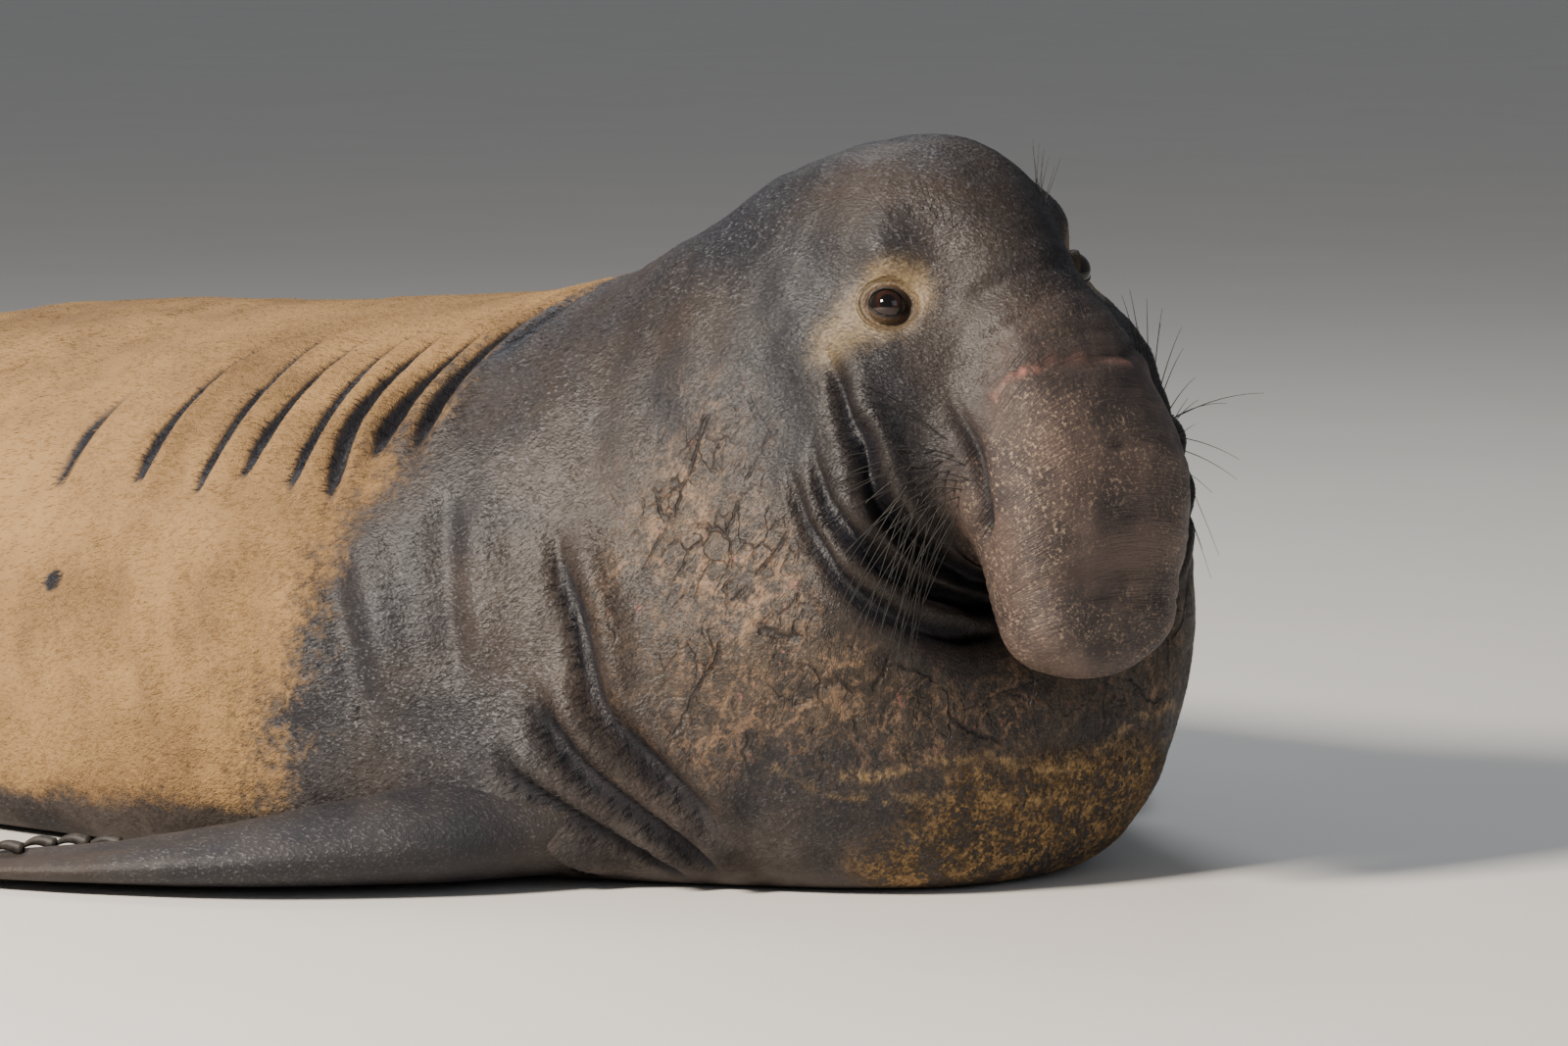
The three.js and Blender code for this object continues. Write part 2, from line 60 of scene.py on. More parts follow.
# Back point (x, z), belly or throat point (x, z), half width, height of the widest place as a
# share of the way up, roundness above and below it, and narrowing of the upper part.
SECTIONS = np.array([
    [-3.30, 0.20, -3.30, 0.05, 0.13, 0.50, 2.0, 2.0, 0.0],
    [-3.00, 0.30, -3.00, -0.02, 0.22, 0.44, 2.0, 2.3, 0.0],
    [-2.55, 0.43, -2.55, -0.06, 0.36, 0.40, 2.0, 2.6, 0.0],
    [-2.05, 0.54, -2.05, -0.08, 0.49, 0.38, 2.0, 2.9, 0.0],
    [-1.55, 0.62, -1.55, -0.08, 0.58, 0.36, 2.0, 3.0, 0.0],
    [-1.08, 0.645, -1.06, -0.08, 0.62, 0.36, 2.0, 3.0, 0.0],
    [-0.70, 0.675, -0.62, -0.08, 0.61, 0.36, 2.0, 3.0, 0.0],
    [-0.47, 0.725, -0.29, -0.07, 0.50, 0.40, 2.0, 2.8, 0.0],
    [-0.335, 0.785, -0.06, -0.05, 0.405, 0.43, 2.2, 2.5, 0.05],
    [-0.225, 0.845, 0.09, 0.0, 0.35, 0.45, 2.4, 2.3, 0.13],
    [-0.13, 0.88, 0.15, 0.10, 0.305, 0.45, 2.6, 2.3, 0.22],
    [-0.045, 0.895, 0.16, 0.20, 0.282, 0.45, 2.7, 2.2, 0.32],
    [0.035, 0.888, 0.15, 0.28, 0.264, 0.45, 2.5, 2.2, 0.38],
    [0.11, 0.85, 0.125, 0.335, 0.24, 0.45, 2.35, 2.2, 0.43],
    [0.18, 0.78, 0.125, 0.375, 0.198, 0.46, 2.25, 2.2, 0.38],
    [0.24, 0.68, 0.13, 0.395, 0.163, 0.48, 2.3, 2.2, 0.20],
    [0.285, 0.575, 0.145, 0.38, 0.142, 0.50, 2.2, 2.2, 0.05],
    [0.305, 0.47, 0.155, 0.345, 0.128, 0.50, 2.2, 2.2, 0.0],
    [0.30, 0.37, 0.165, 0.305, 0.112, 0.50, 2.2, 2.2, 0.0],
])
LAST = len(SECTIONS) - 1
FLESH_NODES = ("head", "proboscis", "neck", "torso_front", "torso_middle", "torso_rear", "hips", "tail",
               "fore_flipper_left", "fore_flipper_right", "hind_flipper_left", "hind_flipper_right")
PHOTO_WIDTH, PHOTO_HEIGHT = 1600, 1067
EYE_PLACE, EYE_DEGREES = 12.19, 64.0
CHUNK = 4000
MAP_ALONG, MAP_ROUND = 0.1, 0.11
AXIS_PRIMES = (73856093, 19349663, 83492791)
SEED_PRIME, GROWTH, OFFSET, SPIN = 2654435761, 1103515245, 12345, 48271
# crease holds the painted shade of the fold creases and the real dark wound; wet darkens the hide beside the
# folds, partly real damp and partly painted shade; low holds dust and a painted whitish sheen.
MARKS = ("sand", "shield", "crust", "patch", "trunk", "crease", "wet", "scar", "tide", "low", "lid")


class Side(Enum):
    """The two sides of the animal; the value is the sign of y."""

    RIGHT = -1
    LEFT = 1

    def angle(self, degrees: float | Array) -> float | Array:
        """Radians round the section of degrees counted from the back down this side."""
        return np.radians(degrees if self is Side.LEFT else 360 - degrees)


def smooth(x: Array, low: float, high: float) -> Array:
    """Smoothstep: 3t^2 - 2t^3 of the share t of x between low and high."""
    t = np.clip((x - low) / (high - low), 0.0, 1.0)
    return t * t * (3 - 2 * t)


def bell(x: Array, width: float | Array) -> Array:
    """Gaussian hump: exp(-(x / width)^2)."""
    return np.exp(-(x / width) ** 2)


def unit(v: Array) -> Array:
    """Vectors along the last axis brought to length one."""
    return v / (np.linalg.norm(v, axis=-1, keepdims=True) + 1e-12)


def catmull_rom(table: Array, spot: Array) -> tuple[Array, Array]:
    """Reads Catmull-Rom curves through the rows of a table.

    Args:
        table: one row of values for each knot.
        spot: where to read, 0 at the first knot and 1 more at each next one.
    Returns:
        The values and their slopes, with the table's columns on the last axis.
    """
    i = np.minimum(spot.astype(int), len(table) - 2)
    f = (spot - i)[..., None]
    wide = np.vstack([2 * table[0] - table[1], table, 2 * table[-1] - table[-2]])
    p0, p1, p2, p3 = wide[i], wide[i + 1], wide[i + 2], wide[i + 3]
    m1, m2 = (p2 - p0) / 2, (p3 - p1) / 2
    value = ((2 * f**3 - 3 * f**2 + 1) * p1 + (f**3 - 2 * f**2 + f) * m1
             + (3 * f**2 - 2 * f**3) * p2 + (f**3 - f**2) * m2)
    slope = (6 * f**2 - 6 * f) * (p1 - p2) + (3 * f**2 - 4 * f + 1) * m1 + (3 * f**2 - 2 * f) * m2
    return value, slope


def along_route(route: Route, steps: int) -> tuple[Array, Array]:
    """Places and degrees at even steps between the knots of a route on the hide."""
    knots = np.array(route, dtype=float)
    number = np.arange(len(knots))
    t = np.linspace(0, number[-1], steps * number[-1] + 1)
    return np.interp(t, number, knots[:, 0]), np.interp(t, number, knots[:, 1])


def chunks_near(points: Array, line: Array, reach: float) -> Iterator[Array]:
    """Indices of the points within reach of the box round a line, a few thousand at a time."""
    near = np.nonzero(np.all((points > line.min(0) - reach) & (points < line.max(0) + reach), axis=1))[0]
    yield from np.array_split(near, max(1, len(near) // CHUNK))


def lattice(points: Array, cell: float, seed: int) -> Array:
    """Smooth noise in -1..1: random values at the corners of a cubic lattice, blended by smoothstep.

    Args:
        points: places, in metres, with x, y, z on the last axis.
        cell: size of the lattice's cells.
        seed: chooses the random values.
    Returns:
        One value for each place.
    """
    q = points / cell
    whole = np.floor(q).astype(np.int64)
    part = q - whole
    part = part * part * (3 - 2 * part)
    total = np.zeros(points.shape[:-1])
    for corner in np.ndindex(2, 2, 2):
        spot = (whole + np.array(corner)) * np.array(AXIS_PRIMES)
        mixed = spot[..., 0] ^ spot[..., 1] ^ spot[..., 2]
        mixed = (mixed ^ (seed * SEED_PRIME)) & 0xFFFFFFFF
        mixed = (mixed * GROWTH + OFFSET) & 0x7FFFFFFF
        mixed = ((mixed >> 11) ^ mixed) * SPIN & 0x7FFFFFFF
        weight = np.prod(np.where(np.array(corner) > 0, part, 1 - part), axis=-1)
        total += (mixed / 0x3FFFFFFF - 1.0) * weight
    return total


@dataclass(frozen=True)
class Stance:
    """Pose of the straight animal: turn of the neck, roll of the head and bend of the tail."""

    turn_from: float = -0.9
    turn_to: float = 0.05
    turn: float = -0.24
    tail_from: float = -1.5
    tail_bend: float = 0.10
    roll: float = float(np.radians(6.0))
    roll_height: float = 0.5
    roll_in: tuple[float, float] = (7.0, 11.0)
    roll_out: tuple[float, float] = (14.0, 18.0)
    floor_edge: float = 0.03

    def pressed(self, z: Array) -> Array:
        """Height with the belly pressed flat on the floor, with a soft edge."""
        edge = self.floor_edge
        return np.where(z <= -edge, 0.0, np.where(z < edge, (z + edge) ** 2 / (4 * edge), z))

    def rolled(self, points: Array, place: Array) -> Array:
        """Rolls the head about a lengthwise axis, then presses what is low flat on the floor.

        Args:
            points: places on the straight animal.
            place: where along the sections each belongs, which sets its share of the roll.
        Returns:
            The rolled and pressed places.
        """
        y, high = points[..., 1], points[..., 2] - self.roll_height
        roll = self.roll * smooth(place, *self.roll_in) * (1 - smooth(place, *self.roll_out))
        across = y * np.cos(roll) - high * np.sin(roll)
        height = self.roll_height + y * np.sin(roll) + high * np.cos(roll)
        return np.stack([points[..., 0], across, self.pressed(height)], axis=-1)

    def bent(self, points: Array) -> Array:
        """Bends the middle line sideways: a turn of the neck and a bend of the tail."""
        x, y, z = points[..., 0], points[..., 1], points[..., 2]
        reach = self.turn_to - self.turn_from
        turned = np.clip(x - self.turn_from, 0, reach)
        past = np.maximum(x - self.turn_to, 0)
        behind = np.minimum(x - self.tail_from, 0)
        angle = np.arctan(self.turn * turned / reach + self.tail_bend * behind)
        middle = self.turn * turned**2 / 2 / reach + past * self.turn + self.tail_bend * behind**2 / 2
        return np.stack([x - y * np.sin(angle), middle + y * np.cos(angle), z], axis=-1)


@dataclass(frozen=True)
class Fold:
    """A crease along a route on the hide, with a roll of flesh beside it.

    The route holds places along the sections and degrees round from the back, on either side.
    Depth and width are the crease's, bulge and offset the roll's; a positive offset lies on the
    side of the belly or the rear.
    """

    route: Route
    depth: float
    width: float
    bulge: float = 0.0
    offset: float = 0.0
    spread: float = 0.02
    # How much painted shade the crease gets in the colour.
    dark: float = 1.0
    # Damp hide beside the crease, darker in the colour: partly real damp, partly painted shade.
    wet: float = 0.0
    rise: float = 0.26


MOUTH = [(11.0, 72), (11.3, 77), (11.64, 85), (12.36, 90), (13.02, 99), (13.39, 111), (13.7, 128),
         (13.88, 144), (13.85, 160), (13.85, 180)]
JAW_FOLDS = (
    Fold(MOUTH, 0.026, 0.013, 0.015, 0.028, 0.018, dark=1.0, wet=1.0),
    Fold([(10.7, 84), (10.87, 89), (11.33, 97), (12.21, 113), (12.67, 129), (13.13, 146), (13.25, 162),
          (13.3, 176)],
         0.021, 0.012, 0.014, 0.026, 0.018, dark=0.95, wet=1.0),
    Fold([(10.2, 84), (10.35, 89), (10.73, 97), (11.16, 110), (11.56, 122), (11.87, 132), (12.47, 156),
          (12.6, 174)],
         0.018, 0.012, 0.012, 0.026, 0.019, dark=0.85, wet=0.8),
    Fold([(9.9, 92), (10.3, 103), (10.8, 118), (11.3, 134)], 0.004, 0.012, 0.002, 0.02, dark=0.2, wet=0.3),
)
SNOUT_FOLDS = (
    Fold([(13.9, 74), (14.45, 77), (15.11, 79), (15.62, 83), (16.14, 90), (16.5, 104)],
         0.017, 0.010, 0.005, -0.024, 0.018, dark=0.55, rise=0.5),
    Fold([(14.6, 66), (14.74, 59), (15.05, 38), (15.25, 22), (15.33, 0)],
         0.006, 0.007, 0.004, -0.02, 0.014, dark=0.25),
    Fold([(14.2, 58), (14.5, 44), (14.75, 22), (14.85, 0)], 0.0035, 0.008, 0.002, 0.015, dark=0.15),
    Fold([(14.5, 52), (14.8, 36), (14.98, 18), (15.05, 0)], 0.0040, 0.007, 0.002, 0.014, dark=0.2),
    Fold([(13.6, 52), (13.95, 40), (14.2, 20), (14.3, 0)], 0.0030, 0.011, 0.002, 0.018, dark=0.1),
    Fold([(15.9, 60), (16.1, 40), (16.2, 20), (16.25, 0)], 0.0028, 0.009, dark=0.15),
    Fold([(16.8, 80), (16.9, 50), (16.95, 20), (17.0, 0)], 0.0024, 0.010, dark=0.1),
    Fold([(17.6, 90), (17.65, 60), (17.7, 30), (17.7, 0)], 0.0030, 0.009, dark=0.15),
)
# The wet of the shoulder folds darkens the hide beside their creases as painted shade.
SHOULDER_FOLDS = (
    Fold([(7.65, 72), (7.72, 80), (7.83, 87), (7.86, 97), (8.06, 107), (8.21, 118), (8.26, 130)],
         0.020, 0.014, 0.016, 0.036, 0.024, dark=0.75, wet=0.35),
    Fold([(7.4, 92), (7.49, 96), (7.63, 106), (7.80, 115), (7.98, 128), (7.92, 142)],
         0.024, 0.012, 0.019, 0.030, 0.020, dark=0.95, wet=0.35),
    Fold([(7.15, 99), (7.23, 104), (7.40, 111), (7.58, 120), (7.72, 130), (7.70, 144)],
         0.021, 0.011, 0.017, 0.026, 0.018, dark=0.9, wet=0.35),
    Fold([(6.9, 110), (7.05, 115), (7.24, 124), (7.25, 140)],
         0.018, 0.011, 0.015, 0.026, 0.018, dark=0.9, wet=0.3),
)
SLIT = {"depth": 0.018, "width": 0.013, "bulge": 0.011, "offset": 0.026, "spread": 0.02, "rise": 0.72}
WAVE = {"depth": 0.008, "width": 0.022, "bulge": 0.006, "offset": 0.042, "spread": 0.028}
BACK_FOLDS = (
    Fold([(5.36, 10), (5.25, 26), (5.23, 42), (5.26, 58)], **SLIT),
    Fold([(5.58, 9), (5.47, 26), (5.50, 42), (5.53, 59)], **SLIT),
    Fold([(5.80, 8), (5.68, 26), (5.70, 40), (5.72, 57)], **SLIT),
    Fold([(6.00, 8), (5.88, 24), (5.95, 42), (6.00, 60)], **SLIT),
    Fold([(6.24, 8), (6.10, 24), (6.14, 44), (6.27, 63)], **SLIT),
    Fold([(6.52, 5), (6.42, 22), (6.36, 40), (6.38, 56)], **SLIT),
    Fold([(6.78, 6), (6.66, 24), (6.58, 40), (6.60, 55)], **SLIT),
    Fold([(7.05, 8), (6.93, 24), (6.74, 40)], 0.008, 0.013, 0.005, 0.024, dark=0.7, rise=0.6),
    Fold([(5.0, 24), (4.92, 44), (4.96, 60)], 0.007, 0.014, 0.003, 0.03, dark=0.5, rise=0.6),
    Fold([(5.20, 60), (5.36, 75), (5.52, 92)], **WAVE, dark=0.17),
    Fold([(5.44, 60), (5.56, 76), (5.68, 90)], **WAVE, dark=0.12),
    Fold([(5.62, 60), (5.72, 76), (5.86, 94)], **WAVE, dark=0.17),
    Fold([(5.90, 62), (6.06, 78), (6.20, 94)], **WAVE, dark=0.20),
    Fold([(6.27, 62), (6.45, 78), (6.6, 94)], **WAVE, dark=0.15),
    Fold([(6.9, 60), (7.0, 76), (7.05, 92)], **WAVE, dark=0.1),
    Fold([(7.9, 18), (7.95, 36), (7.9, 56), (7.95, 74)], 0.004, 0.03, 0.003, 0.05, 0.03, dark=0.0),
    Fold([(8.5, 30), (8.45, 50), (8.4, 68)], 0.004, 0.028, 0.003, 0.045, 0.03, dark=0.0),
)


@dataclass(frozen=True)
class Mound:
    """A swelling, or a hollow where its height is negative, of Gaussian shape on both sides."""

    place: float
    degrees: float
    height: float
    radius: float


MOUNDS = (
    Mound(12.05, 62, -0.007, 0.055),
    Mound(11.75, 50, 0.012, 0.045),
    Mound(12.25, 53, 0.011, 0.032),
    Mound(12.9, 44, -0.008, 0.050),
    Mound(14.0, 35, -0.015, 0.065),
    Mound(11.2, 70, 0.005, 0.060),
    Mound(13.6, 88, 0.005, 0.055),
    Mound(14.1, 106, 0.006, 0.045),
    Mound(12.6, 78, 0.008, 0.050),
    Mound(16.4, 60, 0.012, 0.075),
    Mound(17.6, 70, 0.008, 0.060),
    Mound(18.5, 22, -0.010, 0.022),
    Mound(10.4, 62, 0.006, 0.080),
    Mound(9.4, 100, 0.012, 0.140),
    Mound(8.0, 92, 0.012, 0.140),
    Mound(7.15, 118, 0.030, 0.130),
)


@dataclass(frozen=True)
class Bumps:
    """Low random bumps of the hide: height and cell size in metres, and the places where each starts."""

    floor_fade: float = 0.06
    face_from: tuple[float, float] = (7.5, 9.5)
    shield_from: tuple[float, float] = (8.0, 9.0)
    shield_to: tuple[float, float] = (11.2, 12.4)
    trunk_from: tuple[float, float] = (14.6, 15.6)
    body: tuple[float, float] = (0.004, 0.12)
    face: tuple[float, float] = (0.0022, 0.05)
    fine: tuple[float, float] = (0.0012, 0.022)
    shield: tuple[float, float] = (0.0022, 0.03)
    rings: tuple[float, float] = (0.0016, 0.035)
    body_stretch: tuple[float, float, float] = (1.6, 1.0, 1.0)
    shield_stretch: tuple[float, float, float] = (1.0, 1.0, 0.5)
    ring_stretch: tuple[float, float, float] = (0.35, 0.4, 0.05)


@dataclass
class Hide:
    """The surface of the body and head as a function of a place along it and an angle round it."""

    stance: Stance = field(default_factory=Stance)
    bumps: Bumps = field(default_factory=Bumps)
    tail_cap: float = 0.08
    tip_cap: float = 0.07
    narrowing: tuple[float, float] = (-0.35, 0.6)
    route_steps: int = 18
    route_smoothing: int = 9
    fold_reach: float = 0.16
    fade_out: tuple[float, float] = (0.80, 1.02)
    waver: tuple[float, float] = (0.2, 0.05)
    thin_end: float = 0.45
    fade_in: float = -0.02
    end_width: float = 1.5
    wet_width: float = 3.2
    shift: Array = field(default_factory=lambda: np.zeros(3))
    tables: list[tuple[Fold, Array, Array]] = field(default_factory=list)
    spots: list[tuple[Mound, Array]] = field(default_factory=list)

    def rows(self, place: Array) -> Array:
        """Section values between the sections, on Catmull-Rom curves through them."""
        return catmull_rom(SECTIONS, np.clip(place, 0, LAST))[0]

    def plain(self, place: Array, angle: Array) -> Array:
        """Points of the hide without its folds.

        Each section is two half superellipses, |x|^n + |y|^n = 1, joined at the belt; beyond the
        first and last section the rings shrink by the cosine and move out by the sine of a
        quarter turn, which closes the ends.

        Args:
            place: along the sections, with -1..0 and LAST..LAST + 1 the rounded ends.
            angle: round the section, 0 on the back, pi on the belly, left side below pi.
        Returns:
            Points in the shared frame.
        """
        row = self.rows(place)
        zero = np.zeros(np.broadcast(place, angle).shape)
        back = np.stack([row[..., 0] + zero, zero, row[..., 1] + zero], axis=-1)
        belly = np.stack([row[..., 2] + zero, zero, row[..., 3] + zero], axis=-1)
        belt, upper, lower = row[..., 5], row[..., 6], row[..., 7]
        sin, cos = np.sin(angle) + zero, np.cos(angle) + zero
        narrowed = 1 - row[..., 8] * smooth(cos, *self.narrowing)
        side = row[..., 4] * narrowed * np.sign(sin) * np.abs(sin) ** (2 / np.where(cos > 0, upper, lower))
        rise = np.where(cos > 0, belt + (1 - belt) * np.abs(cos) ** (2 / upper),
                        belt - belt * np.abs(cos) ** (2 / lower))
        points = belly + (back - belly) * rise[..., None]
        points[..., 1] += side
        points = self.capped(points, place + zero, 0, 1, self.tail_cap, -1)
        points = self.capped(points, place + zero, LAST, LAST - 1, self.tip_cap, 1)
        return self.stance.bent(self.stance.rolled(points, place + zero)) + self.shift

    def capped(self, points: Array, place: Array, end: int, inner: int, length: float,
               sign: int) -> Array:
        """Rounds one end: rings shrink by a cosine and move outwards by a sine."""
        turn = np.clip(sign * (place - end), 0, 1)[..., None] * np.pi / 2
        row, near = SECTIONS[end], SECTIONS[inner]
        across = np.array([row[0] - row[2], 0, row[1] - row[3]])
        centre = np.array([row[2], 0, row[3]]) + across * row[5]
        out = unit(np.array([across[2], 0, -across[0]]))
        step = np.array([row[0] - near[0] + row[2] - near[2], 0, row[1] - near[1] + row[3] - near[3]])
        out = out * np.sign(out @ step)
        rounded = centre + (points - centre) * np.cos(turn) + out * length * np.sin(turn)
        return np.where(turn > 0, rounded, points)

    def outward(self, place: Array, angle: Array) -> Array:
        """Unit normals of the plain hide: the step along it crossed with the step round it."""
        step = 0.02
        along = self.plain(place + step, angle) - self.plain(place - step, angle)
        turning = self.plain(place, angle + step) - self.plain(place, angle - step)
        return unit(np.cross(along, turning))

    def at(self, place: float, degrees: float, side: Side) -> tuple[Array, Array]:
        """One point of the plain hide and its normal, from degrees round from the back."""
        spot, turn = np.array([float(place)]), np.array([side.angle(degrees)])
        return self.plain(spot, turn)[0], self.outward(spot, turn)[0]

    def stretches(self, place: Array, angle: Array, step: float) -> tuple[Array, Array]:
        """Moves on the plain hide for a small step of place and of angle."""
        here = self.plain(place, angle)
        return self.plain(place + step, angle) - here, self.plain(place, angle + step) - here

    def prepare(self, folds: Sequence[Fold]) -> None:
        """Lays each fold's route out on the hide as close points with their directions."""
        kernel = np.ones(self.route_smoothing) / self.route_smoothing
        margin = self.route_smoothing // 2
        for fold in folds:
            for side in Side:
                place, degrees = (np.convolve(np.pad(values, margin, mode="edge"), kernel, mode="valid")
                                  for values in along_route(fold.route, self.route_steps))
                angle = side.angle(degrees)
                line = self.plain(place, angle)
                across = unit(np.cross(unit(np.gradient(line, axis=0)), self.outward(place, angle)))
                self.tables.append((fold, line, across * side.value))
        for mound in MOUNDS:
            for side in Side:
                self.spots.append((mound, self.at(mound.place, mound.degrees, side)[0]))

    def relief(self, points: Array) -> tuple[Array, Array, Array]:
        """Height of the folds and mounds over the plain hide.

        A crease is -depth * exp(-(s / width)^2) of the distance s across its route, and its roll
        is a like hump at the offset; both fade at the route's ends.

        Args:
            points: flat list of plain points.
        Returns:
            The height, the darkness of the creases, which the finish paints as shade, and how wet the hide is.
        """
        height, dark, wet = np.zeros(len(points)), np.zeros(len(points)), np.zeros(len(points))
        waver, waver_cell = self.waver
        for fold, line, across in self.tables:
            for chunk in chunks_near(points, line, self.fold_reach):
                p = points[chunk]
                gap = ((p[:, None, :] - line[None]) ** 2).sum(-1)
                best = gap.argmin(1)
                s = ((p - line[best]) * across[best]).sum(-1)
                beyond = np.sqrt(np.maximum(gap.min(1) - s**2, 0))
                share = best / (len(line) - 1)
                fade = smooth(share, self.fade_in, fold.rise)
                if fold.route[-1][1] not in (0, 180):
                    fade = fade * (1 - smooth(share, *self.fade_out))
                fade = fade * bell(beyond, fold.width * self.end_width)
                fade = fade * (1 + waver * lattice(line[best], waver_cell, 5))
                narrow = fold.width * (self.thin_end + (1 - self.thin_end) * fade)
                crease = bell(s, narrow) * fade
                height[chunk] += fold.bulge * bell(s - fold.offset, fold.spread) * fade - fold.depth * crease
                # The crease's darkness, which the finish paints as shade.
                dark[chunk] = np.maximum(dark[chunk], crease * fold.dark)
                # Band beside the crease that the finish darkens: partly damp, partly painted shade.
                damp_and_shade = bell(s, fold.width * self.wet_width) * smooth(fade, 0, 0.5)
                wet[chunk] = np.maximum(wet[chunk], damp_and_shade * fold.wet)
        for mound, centre in self.spots:
            gap = ((points - centre) ** 2).sum(-1)
            height += mound.height * np.exp(-gap / mound.radius**2)
        return height, dark, wet

    def surface(self, place: Array, angle: Array) -> tuple[Array, Array, Array]:
        """Points of the finished hide, with the darkness and wetness of each.

        Args:
            place: along the sections.
            angle: round the section.
        Returns:
            Points moved along their normals by the relief and by low bumps, and the two masks.
        """
        place, angle = np.ravel(place + 0 * angle), np.ravel(angle + 0 * place)
        points, normals = self.plain(place, angle), self.outward(place, angle)
        height, dark, wet = self.relief(points)
        kinds = self.bumps
        above = smooth(points[:, 2] - self.shift[2], 0.0, kinds.floor_fade)
        face = smooth(place, *kinds.face_from)
        shield = smooth(place, *kinds.shield_from) * (1 - smooth(place, *kinds.shield_to))
        rings = np.stack([place, points[:, 1], points[:, 2]], -1) * kinds.ring_stretch
        for seed, mask, (tall, cell), spots in (
                (1, (1 - face) * above, kinds.body, points * kinds.body_stretch),
                (2, face, kinds.face, points),
                (3, above, kinds.fine, points),
                (7, shield, kinds.shield, points * kinds.shield_stretch),
                (9, smooth(place, *kinds.trunk_from), kinds.rings, rings)):
            height += mask * tall * lattice(spots, cell, seed)
        return points + normals * (height * above)[:, None], dark, wet


